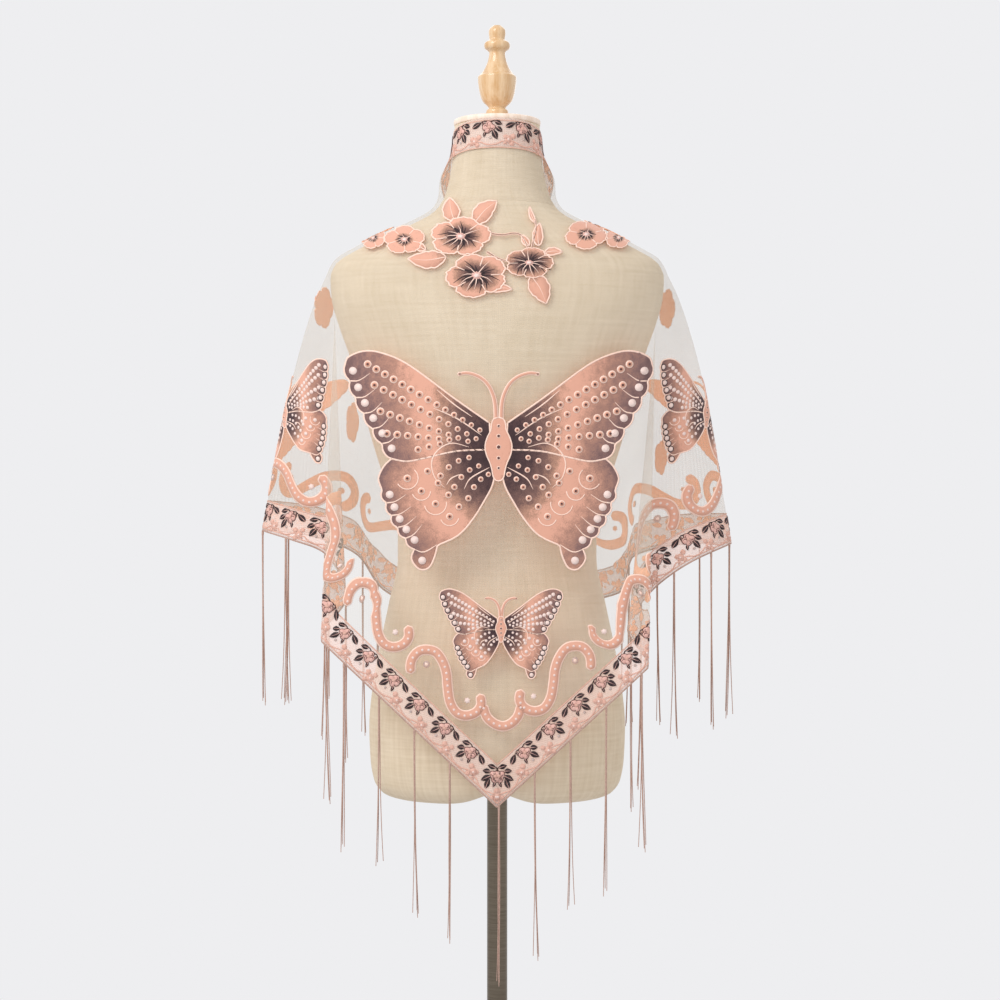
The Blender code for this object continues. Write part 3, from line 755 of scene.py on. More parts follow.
@dataclass
class DressForm:
    """Limbless torso covered in linen, with a seam round the foot of the neck."""

    seam_width: float = 0.0011
    seam_depth: float = 0.0006
    neck_seam: float = 1.4185
    turns: int = 120
    rows: int = 120
    # Rows under the hip are closer together
    hip_section: int = 4
    low_rows: int = 18
    # Height up to which the form's slope is read
    slope_top: float = 1.515
    socket_radius: float = 0.025
    # Mean radius, by which the linen's weave is spread round the form
    girth: float = 0.11
    heights: list[float] = field(default_factory=lambda: [row.height for row in FORM_SECTIONS])

    def section(self, height: np.ndarray | float) -> np.ndarray:
        """Half width, front, back and roundness at some heights."""
        return smooth_table(self.heights, [row[1:] for row in FORM_SECTIONS], np.asarray(height, float))

    def points(self, angle: np.ndarray, height: np.ndarray) -> np.ndarray:
        """Points on the form at angles from the middle of the back, towards +X.

        Args:
            angle: Angles from the middle of the back, towards +X.
            height: Heights.

        Returns:
            The points.
        """
        angle, height = np.broadcast_arrays(np.asarray(angle, float), np.asarray(height, float))
        half_width, front, back, roundness = np.moveaxis(self.section(height), -1, 0)
        across = np.abs(np.sin(angle)) ** (2 / roundness) * np.sign(np.sin(angle))
        along = np.abs(np.cos(angle)) ** (2 / roundness)
        depth = np.where(np.cos(angle) > 0, -back, front)
        return np.stack([across * half_width, along * depth, height], -1)

    def normals(self, angle: np.ndarray, height: np.ndarray) -> np.ndarray:
        """Outward normals of the form.

        Args:
            angle: Angles from the middle of the back, towards +X.
            height: Heights.

        Returns:
            The normals.
        """
        step, lift = 0.01, 0.002
        around = self.points(angle + step, height) - self.points(angle - step, height)
        up = self.points(angle, height + lift) - self.points(angle, height - lift)
        return unit(np.cross(around, up))

    def outside(self, points: np.ndarray, clearance: np.ndarray) -> np.ndarray:
        """Moves points straight out from the middle until they are clear of the form.

        Args:
            points: Points to move.
            clearance: Room to keep.

        Returns:
            The moved points.
        """
        half_width, front, back, roundness = np.moveaxis(self.section(points[..., 2]), -1, 0)
        depth = np.where(points[..., 1] > 0, front, back) + clearance
        across = np.abs(points[..., 0]) / (half_width + clearance)
        along = np.abs(points[..., 1]) / depth
        reach = (across**roundness + along**roundness) ** (1 / roundness)
        reach = np.where(points[..., 2] < self.heights[0], 1, np.clip(reach, 1e-6, 1))
        return points / np.stack([reach, reach, np.ones_like(reach)], -1)

    def row_heights(self) -> np.ndarray:
        """Heights of the mesh's rows, closer together at the hip's edge and the neck seam.

        Returns:
            The heights, rising.
        """
        start, hip = self.heights[0], self.heights[self.hip_section]
        low = start + (hip - start) * np.linspace(0, 1, self.low_rows) ** 1.7
        even = np.linspace(hip, self.heights[-1], self.rows)[1:]
        seam = self.neck_seam + self.seam_width * np.array((-1, -0.5, 0, 0.5, 1))
        keep = [z for z in even if abs(z - self.neck_seam) > 2 * self.seam_width]
        return np.array(sorted([*low, *keep, *seam]))

    def build(self) -> Piece:
        """Makes the torso with its seam, open to the pole's socket below.

        Returns:
            The piece.
        """
        angles = np.linspace(0, math.tau, self.turns + 1)
        heights = self.row_heights()
        grid = self.points(angles[None, :], heights[:, None])
        out = self.normals(angles[None, :], np.clip(heights, self.heights[1], self.slope_top)[:, None])
        groove = np.clip(1 - np.abs(heights - self.neck_seam) / self.seam_width, 0, 1)
        grid = grid - out * groove[:, None, None] * self.seam_depth
        share = np.clip((NOTCH_TOP - grid[..., 2]) / (NOTCH_TOP - self.heights[0]), 0, 1)
        grid[..., 2] += NOTCH_RISE * share * np.exp(-((grid[..., 0] / NOTCH_HALF_WIDTH) ** 2))
        shape = bmesh.new()

        def place(around: float, up: float) -> np.ndarray:
            """Point of the torso, or of the rim of the pole's socket.

            Args:
                around: Share of the way round.
                up: Share of the way up.

            Returns:
                The point.
            """
            column = round(around * self.turns)
            row = round(up * len(heights))
            if row:
                return grid[row - 1][column]
            out = self.socket_radius * np.array((math.sin(angles[column]), -math.cos(angles[column]), 0.0))
            return out + (0.0, 0.0, self.heights[0] + NOTCH_RISE)

        places = {}
        for number, vert in enumerate(bend_grid(shape, self.turns, len(heights), place)):
            row, column = divmod(number, self.turns + 1)
            places[vert] = (self.girth * angles[column], float(heights[max(row - 1, 0)]))
        write_uv(shape, places)
        weld(shape)
        rims = [edge for edge in shape.edges if edge.is_boundary]
        bmesh.ops.holes_fill(shape, edges=rims, sides=0)
        bmesh.ops.recalc_face_normals(shape, faces=shape.faces[:])
        return new_piece("torso", shape, [LINEN], Slot.LINEN, ["form_torso"], sharp=60)


@dataclass
class Stand:
    """Metal pole with a round foot on the floor."""

    pole_radius: float = 0.0125
    base_radius: float = 0.165
    base_thickness: float = 0.008
    edge: float = 0.003
    hub_radius: float = 0.027
    hub_height: float = 0.045
    gap: float = 0.0003
    sides: int = 64

    def build(self) -> list[Piece]:
        """Spins the foot with its hub, and the pole.

        Returns:
            The pieces.
        """
        hub_end = self.base_thickness + self.hub_height
        edge = self.edge
        base = [
            (self.base_radius - edge / 2, 0.0),
            (self.base_radius, edge / 2),
            *rounded_corner(self.base_radius, self.base_thickness, edge),
            (self.hub_radius + edge, self.base_thickness),
            (self.hub_radius, self.base_thickness + edge),
            *rounded_corner(self.hub_radius, hub_end, edge),
        ]
        foot = bmesh.new()
        turned(foot, base, self.sides)
        pole = bmesh.new()
        top = FORM_SECTIONS[0].height + NOTCH_RISE - self.gap
        turned(pole, [(self.pole_radius, hub_end + self.gap), (self.pole_radius, top)], self.sides)
        return [
            new_piece("foot", foot, [STEEL], Slot.STEEL, ["stand_base"]),
            new_piece("pole", pole, [STEEL], Slot.STEEL, ["stand_pole"]),
        ]


@dataclass
class NeckTop:
    """Wooden cap on the neck, with a turned finial."""

    cap_radius: float = 0.0535
    cap_thickness: float = 0.0080
    cap_edge: float = 0.0022
    gap: float = 0.0003
    sides: int = 72
    fine: int = 5

    def build(self) -> list[Piece]:
        """Spins the cap and the finial.

        Returns:
            The pieces.
        """
        start = FORM_SECTIONS[-1].height + self.gap
        top = start + self.cap_thickness
        edge = self.cap_edge
        rim = [
            (self.cap_radius - edge, start),
            (self.cap_radius - edge / 4, start + edge / 2),
            (self.cap_radius, start + edge * 1.5),
            *rounded_corner(self.cap_radius, top, edge),
        ]
        cap = bmesh.new()
        turned(cap, smooth_outline(rim, 3), self.sides)
        foot = top + self.gap
        outline = [(radius, foot + rise) for rise, radius in FINIAL_PROFILE]
        finial = bmesh.new()
        turned(finial, smooth_outline(outline, self.fine), self.sides)
        return [
            new_piece("cap", cap, [CAP_BEECH], Slot.BEECH, ["neck_cap"], sharp=50),
            new_piece("turned_finial", finial, [BEECH], Slot.BEECH, ["finial"], sharp=50),
        ]


# Cloth


@dataclass
class Drape:
    """The worn cloth's surface, as lines of points from its neck edge to its hem."""

    form: DressForm
    finer: int = 3
    samples: int = 56
    rows: int = 112
    level_step: float = 0.004
    level_range: Pair = (0.66, 1.48)

    def __post_init__(self) -> None:
        """Works out the lines, the level sections and the surface."""
        left_places, left, left_rise = self.half(Side.LEFT)
        right_places, right, right_rise = self.half(Side.RIGHT)
        self.middle = len(left) - 1
        self.places = np.concatenate([-left_places[:0:-1], right_places])
        self.rises = np.concatenate([left_rise[:0:-1], right_rise])
        lines = np.concatenate([left[:0:-1], right])
        self.measure(lines)
        self.measure(lines + self.line_normals() * self.crease_rise()[..., None])
        self.surface = self.surface_tree()

    def folds_at(self, side: Side, places: np.ndarray) -> np.ndarray:
        """Fold values at places in the table, with a straight hem up to the crest.

        Args:
            side: Which half.
            places: Places in the table.

        Returns:
            One row of values for each place.
        """
        hangs = [fold.right if side is Side.RIGHT else fold.left for fold in FOLDS]
        rows = [(*hang, *fold[:4]) for hang, fold in zip(hangs, FOLDS)]
        values = smooth_table(range(len(FOLDS)), rows, places)
        rise = (hangs[CREST].hem_height - hangs[0].hem_height) / hangs[CREST].hem_x
        straight = hangs[0].hem_height + rise * values[..., 1]
        values[..., 3] = np.where(places <= CREST, straight, values[..., 3])
        return values

    def half(self, side: Side) -> tuple[np.ndarray, np.ndarray, np.ndarray]:
        """One half of the cloth, from the middle of the back to the front edge.

        Args:
            side: Which half it is.

        Returns:
            Places in the table, lines of points, and the band's rise on each line.
        """
        places = [0.0]
        for number, fold in enumerate(FOLDS[:-1]):
            count = fold.columns * self.finer
            places += [number + k / count for k in range(1, count + 1)]
        places = np.array(places)
        values = self.folds_at(side, places).T[..., None]
        drape_angle, hem_x, hem_y, hem_height, neck_angle, top, leave, belly = values
        share = np.linspace(0, 1, self.samples + 1)[None, :]
        height = top + (leave - top) * share
        narrow = self.form.section(NECK_HEIGHT)[0]
        wide = self.form.section(leave)[..., 0]
        spread = np.clip((self.form.section(height)[..., 0] - narrow) / (wide - narrow), 0, 1)
        spread[:, -1] = 1
        angle = side.value * np.radians(neck_angle + (drape_angle - neck_angle) * spread)
        rest = np.clip((height - COLLAR_FOOT) / (COLLAR_REST - COLLAR_FOOT), 0, 1)
        clearance = SHOULDER_CLEARANCE + (NECK_CLEARANCE - SHOULDER_CLEARANCE) * rest
        turn = np.clip((neck_angle - COLLAR_EASE_START) / (COLLAR_EASE_FULL - COLLAR_EASE_START), 0, 1)
        clearance += COLLAR_EASE * turn * np.exp(-(((height - COLLAR_EASE_HEIGHT) / COLLAR_EASE_REACH) ** 2))
        laid = self.form.points(angle, height) + self.form.normals(angle, height) * clearance[..., None]
        leaving = laid[:, -1:]
        hem = np.concatenate([side.value * hem_x, hem_y, hem_height], -1)[:, None]
        turn = np.radians(drape_angle)
        outwards = np.concatenate([side.value * np.sin(turn), -np.cos(turn), 0 * turn], -1)[:, None]
        pull = leaving + (hem - leaving) * PULL_SHARE + outwards * 2 * belly[..., None]
        part = share[:, 1:, None]
        first = leaving + (pull - leaving) * part
        second = pull + (hem - pull) * part
        hung = first + (second - first) * part
        hung = self.form.outside(hung, HANG_CLEARANCE * np.minimum(1, 0.6 + part[..., 0]))
        step = 0.2
        before = self.folds_at(side, np.maximum(places - step, 0))
        moved = self.folds_at(side, np.minimum(places + step, FRONT_EDGE)) - before
        run = np.maximum(np.hypot(moved[:, 1], moved[:, 2]), 0.001)
        slope = np.minimum(np.abs(moved[:, 3]) / run, STEEPEST_HEM)
        return places, np.concatenate([laid, hung], 1), BAND_WIDTH * np.sqrt(1 + slope**2)

    def measure(self, lines: np.ndarray) -> None:
        """Takes over lines, and works out distances down them and sections at level heights.

        Args:
            lines: Lines of points, from left to right.
        """
        self.lines = lines
        steps = np.linalg.norm(np.diff(self.lines, axis=1), axis=-1)
        self.distances = np.concatenate([np.zeros((len(steps), 1)), np.cumsum(steps, 1)], 1)
        self.lengths = self.distances[:, -1]
        self.levels = np.arange(*self.level_range, self.level_step)
        backwards = self.lines[:, ::-1]
        cuts = [
            [np.interp(self.levels, line[:, 2], line[:, axis]) for axis in (0, 1)] for line in backwards
        ]
        self.cuts = np.moveaxis(np.array(cuts), 2, 0)
        moves = np.linalg.norm(np.diff(self.cuts, axis=1), axis=-1)
        arcs = np.concatenate([np.zeros((len(moves), 1)), np.cumsum(moves, 1)], 1)
        self.arcs = arcs - arcs[:, self.middle, None]

    def line_normals(self) -> np.ndarray:
        """Outward normals at the points of the lines."""
        return unit(np.cross(np.gradient(self.lines, axis=1), np.gradient(self.lines, axis=0)))

    def crease_rise(self) -> np.ndarray:
        """How far the creases lift each point of the lines.

        Returns:
            A rise for each point.
        """
        height = self.lines[..., 2]
        level = np.clip(((height - self.levels[0]) / self.level_step).astype(int), 0, len(self.levels) - 1)
        arc = self.arcs[level, np.arange(len(self.lines))[:, None]]
        rise = np.zeros_like(height)
        for crease in CREASES:
            start = np.array((crease.start_arc, crease.start_height))
            run = np.array((crease.end_arc, crease.end_height)) - start
            share = ((arc - start[0]) * run[0] + (height - start[1]) * run[1]) / (run @ run)
            held = np.clip(share, 0, 1)
            off = np.hypot(arc - start[0] - run[0] * held, height - start[1] - run[1] * held)
            grows = np.sin(np.pi * np.clip(0.12 + 0.8 * held, 0, 1))
            rise += crease.rise * grows * np.exp(-((off / crease.width) ** 2))
        return rise

    def points_down(self, line: int, distances: np.ndarray | float) -> np.ndarray:
        """Points of a line at distances from the neck edge."""
        ends = (np.interp(distances, self.distances[line], self.lines[line][:, k]) for k in range(3))
        return np.stack(list(ends), -1)

    def resample(self, columns: Iterable[int], distances: np.ndarray) -> np.ndarray:
        """Points of some lines at distances from the neck edge, one row of them for each line."""
        return np.array([self.points_down(line, wanted) for line, wanted in zip(columns, distances)])

    def surface_tree(self) -> BVHTree:
        """The cloth's surface, to lay the print on.

        Returns:
            The surface.
        """
        columns, rows = len(self.lines), self.rows + 1
        grid = self.resample(range(columns), np.linspace(0, 1, rows)[None, :] * self.lengths[:, None])
        quads = [
            (i * rows + j, i * rows + j + 1, (i + 1) * rows + j + 1, (i + 1) * rows + j)
            for i in range(columns - 1)
            for j in range(rows - 1)
        ]
        return BVHTree.FromPolygons([Vector(point) for point in grid.reshape(-1, 3)], quads)

    def sheet(self, shape: Shape, columns: Sequence[int], distances: np.ndarray, lift: float) -> None:
        """Adds part of the cloth to a mesh, with a UV map in metres.

        Args:
            shape: Mesh that gets it.
            columns: Numbers of the lines, from left to right.
            distances: Distances down each of those lines, one row for each line.
            lift: How far it stands off the cloth's inner side.
        """
        points = self.resample(columns, distances)
        normals = unit(np.cross(np.gradient(points, axis=1), np.gradient(points, axis=0)))
        points = points + normals * lift
        across = len(columns) - 1
        along = distances.shape[1] - 1
        arcs = path_distances(points[:, along // 2])

        def place(u: float, v: float) -> np.ndarray:
            """Point at shares across and up."""
            return points[round(u * across)][round((1 - v) * along)]

        places = {}
        for number, vert in enumerate(bend_grid(shape, across, along, place)):
            row, column = divmod(number, across + 1)
            places[vert] = (float(arcs[column]), -float(distances[column][along - row]))
        write_uv(shape, places)

    def column_at(self, place: float) -> int:
        """Number of the line nearest to a place in the fold table, negative on the left."""
        return int(np.argmin(np.abs(self.places - place)))

    def hem_numbers(self, side: Side) -> np.ndarray:
        """Numbers of the lines from the middle of the back to a front corner."""
        return np.arange(self.middle, len(self.lines) if side is Side.RIGHT else -1, side.value)

    def hem(self, side: Side) -> np.ndarray:
        """Points of the hem from the middle of the back to a front corner."""
        return self.lines[self.hem_numbers(side), -1]

    def level_at(self, height: float) -> tuple[int, float]:
        """Number of the level section under a height, and share of the way to the next one."""
        at = min(max((height - self.levels[0]) / self.level_step, 0), len(self.levels) - 1.001)
        return int(at), at - int(at)

    def level_point(self, arc: float, height: float) -> Vector:
        """Point of the cloth at an arc round the body from the middle of the back, and a height.

        Args:
            arc: Arc.
            height: Height.

        Returns:
            The point.
        """
        low, part = self.level_at(height)
        arcs, cuts = self.arcs, self.cuts
        ends = [[np.interp(arc, arcs[k], cuts[k, :, axis]) for axis in (0, 1)] for k in (low, low + 1)]
        x, y = np.array(ends[0]) * (1 - part) + np.array(ends[1]) * part
        return Vector((x, y, height))

    def arc_of(self, column: float, height: float) -> float:
        """Arc round the body of a line at a height.

        Args:
            column: Number of the line, or a place between two.
            height: Height.

        Returns:
            The arc.
        """
        low, part = self.level_at(height)
        number = np.arange(self.arcs.shape[1])
        ends = [np.interp(column, number, self.arcs[k]) for k in (low, low + 1)]
        return ends[0] * (1 - part) + ends[1] * part

    def on_line(self, column: float, distance: Callable[[int], float]) -> tuple[Vector, Vector]:
        """Point of the cloth between two lines, at a distance down each, and its outward normal."""
        low = min(max(int(column), 0), len(self.lines) - 2)
        ends = [Vector(self.points_down(k, distance(k))) for k in (low, low + 1)]
        return self.settled(ends[0].lerp(ends[1], column - low))

    def settled(self, point: Vector) -> tuple[Vector, Vector]:
        """Nearest point of the cloth's surface, and its outward normal."""
        place, normal, _, _ = self.surface.find_nearest(point)
        return place, normal


class Span(NamedTuple):
    """Strip of cloth: its lines, the distances down them from and to, and its rows."""

    lines: list[int]
    top: np.ndarray
    low: np.ndarray
    rows: int


@dataclass
class Shawl:
    """The net triangle with its border bands and their lines."""

    drape: Drape
    net_lift: float = 0.0003
    band_lift: float = 0.0007
    line_lift: float = 0.0009
    line_width: float = 0.0013
    net_rows: int = 112
    band_rows: int = 8
    front_rows: int = 80
    # Room that a wall leaves to the layer under it
    room: float = 0.0001

    def lines_between(self, start: float, end: float) -> list[int]:
        """Numbers of the drape's lines between two places, negative on the left."""
        return list(range(self.drape.column_at(start), self.drape.column_at(end) + 1))

    def strip(self, shape: Shape, span: Span, lift: float) -> None:
        """Adds a strip of cloth between two distances down each of some lines."""
        share = np.linspace(0, 1, span.rows + 1)[None, :]
        self.drape.sheet(shape, span.lines, span.top[:, None] + (span.low - span.top)[:, None] * share, lift)

    def build_net(self) -> Piece:
        """Makes the whole net triangle.

        Returns:
            The piece.
        """
        lengths = self.drape.lengths
        shape = bmesh.new()
        self.strip(shape, Span(list(range(len(lengths))), 0 * lengths, lengths, self.net_rows), self.net_lift)
        net = new_piece("net", shape, [TULLE], Slot.NET, ["net_panel"], sharp=180)
        add_wall(net, self.net_lift)
        return net

    def band_spans(self) -> dict[str, list[Span]]:
        """Strips that make up each band.

        Returns:
            Strips by the name of the band.
        """
        drape = self.drape
        every = self.lines_between(-FRONT_EDGE, FRONT_EDGE)
        none = 0 * drape.lengths
        spans = {"collar_band": [Span(every, none, none + BAND_WIDTH, self.band_rows)]}
        for side in Side:
            lines = self.lines_between(*sorted((side.value * FRONT_BAND_START, side.value * FRONT_EDGE)))
            low = drape.lengths[lines]
            spans["collar_band"].append(Span(lines, 0 * low + BAND_WIDTH, low, self.front_rows))
            lines = self.lines_between(*sorted((0, side.value * FRONT_BAND_START)))
            low = drape.lengths[lines]
            strip = Span(lines, low - drape.rises[lines], low, self.band_rows)
            spans[f"hem_border_{side.name.lower()}"] = [strip]
        return spans

    def build_bands(self) -> list[Piece]:
        """Makes the border bands along the neck edge, the fronts and the two short edges.

        Returns:
            The pieces.
        """
        nodes = {
            "collar_band": ["top_band"],
            "hem_border_left": ["hem_band_left"],
            "hem_border_right": ["hem_band_right"],
        }
        pieces = []
        for name, spans in self.band_spans().items():
            shape = bmesh.new()
            for span in spans:
                self.strip(shape, span, self.band_lift)
            weld(shape)
            band = new_piece(name, shape, [BAND_GROUND], Slot.BAND, nodes[name], sharp=180)
            add_wall(band, self.band_lift - self.net_lift - self.room)
            pieces.append(band)
        return pieces

    def build_lines(self) -> Piece:
        """Makes the thin printed lines along both sides of every band.

        Returns:
            The piece.
        """
        shape = bmesh.new()
        width = self.line_width
        inner = self.lines_between(-FRONT_BAND_START, FRONT_BAND_START)
        hem = self.drape.lengths[inner]
        rise = self.drape.rises[inner]
        stretch = rise / BAND_WIDTH
        every = self.lines_between(-FRONT_EDGE, FRONT_EDGE)
        # Lines of the cloth, middle of the printed line down them, and its half width
        for lines, middle, half in (
            (inner, 0 * hem + BAND_WIDTH, width / 2),
            (inner, hem - rise, width * stretch / 2),
            (inner, hem - 2.1 * width * stretch, width * stretch / 2),
            (every, 0 * self.drape.lengths[every] + 2.1 * width, width / 2),
        ):
            self.strip(shape, Span(lines, middle - half, middle + half, 1), self.line_lift)
        lines = new_piece("band_lines", shape, [EDGE_LINE], Slot.BAND, sharp=180)
        add_wall(lines, self.line_lift - self.band_lift - self.room)
        return lines


@dataclass
class Fringe:
    """Cord along one short edge of the shawl, with straight tassels of loose yarns."""

    drape: Drape
    side: Side
    spacing: float = 0.057
    # Place of the first tassel on the left and on the right edge
    firsts: Pair = (0.076, 0.003)
    last_room: float = 0.003
    length: float = 0.213
    cord_radius: float = 0.0010
    cord_points: int = 260
    knot_length: float = 0.010
    knot_radius: float = 0.0014
    yarn_radius: float = 0.00070
    yarns: int = 4
    spread: float = 0.0009
    drop: float = 0.0008
    sway: float = 0.004

    def build(self) -> Piece:
        """Makes the cord and its tassels.

        Returns:
            The piece.
        """
        shape = bmesh.new()
        hem = self.drape.hem(self.side) - (0.0, 0.0, self.drop)
        total = path_distances(hem)[-1]
        cord = even_path(hem, np.linspace(0, total, self.cord_points))
        add_tube(shape, cord, lambda share: self.cord_radius, 6)
        first = self.firsts[(self.side.value + 1) // 2]
        for number, place in enumerate(np.arange(first, total - self.last_room, self.spacing)):
            self.add_tassel(shape, even_path(hem, np.array([place]))[0], number)
        side = self.side.name.lower()
        return new_piece(f"tassels_{side}", shape, [YARN], Slot.YARN, [f"fringe_{side}"], sharp=60)

    def add_tassel(self, shape: Shape, root: np.ndarray, number: int) -> None:
        """Adds one tassel: a knot, and yarns that hang nearly straight.

        Args:
            shape: Mesh that gets it.
            root: Its upper end.
            number: Number of the tassel, which sets its small irregularities.
        """
        share = np.linspace(0, 1, 13)
        knot = root + np.array([(0, 0, -self.knot_length * s) for s in np.linspace(0, 1, 7)])
        add_tube(
            shape, knot, lambda s: self.knot_radius * (0.55 + 0.45 * math.sin(math.pi * min(1, 0.15 + s))), 8
        )
        length = self.length * (1 + 0.06 * math.sin(2.4 * number))
        for yarn in range(self.yarns):
            turn = math.tau * yarn / self.yarns + 0.7 * number
            out = np.array((math.cos(turn), math.sin(turn), 0.0))
            phase = 1.9 * number + 1.3 * yarn
            # The last yarn strays from the others
            lean = phase if yarn == self.yarns - 1 else 1.9 * number
            bend = np.array((math.sin(lean), math.sin(1.7 * lean), 0.0)) * self.sway
            wave = np.sin(share * 5.0 + phase)[:, None] * np.array((0.0006, 0.0006, 0.0)) * share[:, None]
            fall = length * (1 - 0.05 * (math.sin(3.3 * phase) + 1) / 2)
            path = (
                root
                + share[:, None] * np.array((0.0, 0.0, -fall))
                + out * self.spread * (0.6 + 0.4 * share[:, None])
                + bend * share[:, None] ** 2
                + wave
            )
            add_tube(shape, path, lambda s: self.yarn_radius * (1.05 - 0.35 * s), 6)


# Print


def round_path(x: float, y: float, radius: np.ndarray | float, turns: np.ndarray) -> np.ndarray:
    """Points round a centre, at angles in radians."""
    return np.stack([x + radius * np.cos(turns), y + radius * np.sin(turns)], -1)


def left_of(run: np.ndarray) -> np.ndarray:
    """Direction to the left of a run, one long."""
    return np.array((-run[1], run[0])) / np.hypot(*run)


class Print:
    """Flat printed shapes laid on the cloth, gathered in one mesh.

    Drawings are in millimetres, and a lay function puts them on the cloth.
    """

    base_lift = 0.0012
    layer_step = 0.00015
    thickness = 0.0010

    def __init__(self, name: str) -> None:
        """Starts an empty print.

        Args:
            name: Name of the piece that it becomes.
        """
        self.name = name
        self.shape = bmesh.new()
        self.shape.verts.layers.float.new("shade")
        self.step = bpy.data.meshes.new(name)
        self.finishes: list[Finish] = []

    def lay_down(self, part: Shape, lay: Lay, finish: Finish, layer: int, shade: Shade) -> None:
        """Puts a flat drawing on the cloth, gives it its finish and adds it to the print.

        Args:
            part: Drawing to use up.
            lay: Lays it on the cloth.
            finish: Its finish.
            layer: Its layer above the cloth.
            shade: Shade at a point.
        """
        if finish not in self.finishes:
            self.finishes.append(finish)
        number = 2 * self.finishes.index(finish)
        shades = part.verts.layers.float.new("shade")
        outward = Vector()
        for vert in part.verts:
            vert[shades] = shade(vert.co.x, vert.co.y)
            place, normal = lay(vert.co.x, vert.co.y)
            vert.co = place + normal * (self.base_lift + self.layer_step * layer)
            outward += normal
        total = Vector()
        for face in part.faces:
            face.normal_update()
            face.material_index = number
            total += face.normal * face.calc_area()
        if total.dot(outward) < 0:
            bmesh.ops.reverse_faces(part, faces=part.faces[:])
        part.to_mesh(self.step)
        part.free()
        self.shape.from_mesh(self.step)

    def patch(
        self, outline: np.ndarray, lay: Lay, finish: Finish, layer: int, shade: Shade, pitch: float
    ) -> None:
        """Adds the inside of an outline, cut into pieces so that it bends with the cloth.

        Args:
            outline: Points of the outline.
            lay: Lays it on the cloth.
            finish: Its finish.
            layer: Its layer above the cloth.
            shade: Shade at a point.
            pitch: Size of the pieces.
        """
        part = bmesh.new()
        face = part.faces.new([part.verts.new((x, y, 0)) for x, y in outline])
        bmesh.ops.triangulate(part, faces=[face])
        low = np.min(outline, axis=0)
        high = np.max(outline, axis=0)
        for axis in (0, 1):
            normal = Vector((1 - axis, axis, 0))
            for place in np.arange(low[axis] + pitch / 2, high[axis], pitch):
                parts = [*part.faces, *part.edges, *part.verts]
                at = normal * float(place)
                bmesh.ops.bisect_plane(part, geom=parts, dist=DRAWING_WELD, plane_co=at, plane_no=normal)
        self.lay_down(part, lay, finish, layer, shade)

    def blob(
        self, radius: Size, lay: Lay, finish: Finish, layer: int,
        shade: Shade = lambda x, y: PEACH_SHADE, around: int = 12, rings: int = 1,
    ) -> None:
        """Adds a round shape about the drawing's origin.

        Args:
            radius: Radius at an angle.
            lay: Lays it on the cloth.
            finish: Its finish.
            layer: Its layer above the cloth.
            shade: Shade at a point.
            around: Number of faces around.
            rings: Number of faces from the middle out.
        """

        def place(turn: float, out: float) -> tuple[float, float, float]:
            """Point at a share of the turn and of the way out."""
            angle = turn * math.tau
            reach = radius(angle) * out
            return reach * math.cos(angle), reach * math.sin(angle), 0.0

        part = bmesh.new()
        bend_grid(part, around, rings, place)
        weld(part, DRAWING_WELD)
        self.lay_down(part, lay, finish, layer, shade)

    def disc(self, place: Pair, radius: float, lay: Lay, finish: Finish, layer: int) -> None:
        """Adds a round spot."""
        self.blob(lambda angle: radius, placed(lay, *place), finish, layer)

    def ribbon(
        self, path: np.ndarray, width: Size, lay: Lay, finish: Finish, layer: int,
        shade: Shade = lambda x, y: PEACH_SHADE, across: int = 1, step: float = 4.0,
    ) -> None:
        """Adds a strip along a path.

        Args:
            path: Points of its middle line.
            width: Width at a share of the way along.
            lay: Lays it on the cloth.
            finish: Its finish.
            layer: Its layer above the cloth.
            shade: Shade at a point.
            across: Number of faces across.
            step: Length of a face.
        """
        total = float(path_distances(path)[-1])
        along = max(2, math.ceil(total / step))
        middle = even_path(path, np.linspace(0, total, along + 1))
        run = unit(np.gradient(middle, axis=0))

        def place(aside: float, on: float) -> tuple[float, float, float]:
            """Point at shares across and along.

            Args:
                aside: Share of the way across.
                on: Share of the way along.

            Returns:
                The point.
            """
            number = round(on * along)
            side = np.array((-run[number][1], run[number][0]))
            x, y = middle[number] + side * ((aside - 0.5) * width(on))
            return x, y, 0.0

        part = bmesh.new()
        bend_grid(part, across, along, place)
        weld(part, DRAWING_WELD)
        self.lay_down(part, lay, finish, layer, shade)

    def build(self, slot: Slot) -> Piece:
        """Turns the print into a piece, with its wrong side in the wrong side's finish.

        Args:
            slot: Material slot.

        Returns:
            The piece.
        """
        bpy.data.meshes.remove(self.step)
        finishes = [finish for pair in self.finishes for finish in (pair, WRONG_SIDE)]
        piece = new_piece(self.name, self.shape, finishes, slot, sharp=180)
        add_wall(piece, self.thickness, inner_material=1)
        return piece


def placed(lay: Lay, x: float, y: float, turn: float = 0.0, size: Pair = (1.0, 1.0)) -> Lay:
    """Moves, turns (in degrees) and sizes a drawing before it is laid.

    Args:
        lay: Puts the moved drawing on the cloth.
        x: Move across.
        y: Move up.
        turn: Turn, applied after the sizing.
        size: Sizing across and up.

    Returns:
        A function that puts the drawing on the cloth.
    """
    cos = math.cos(math.radians(turn))
    sin = math.sin(math.radians(turn))

    def moved(u: float, v: float) -> tuple[Vector, Vector]:
        """Lays a point of the drawing."""
        u *= size[0]
        v *= size[1]
        return lay(x + u * cos - v * sin, y + u * sin + v * cos)

    return moved


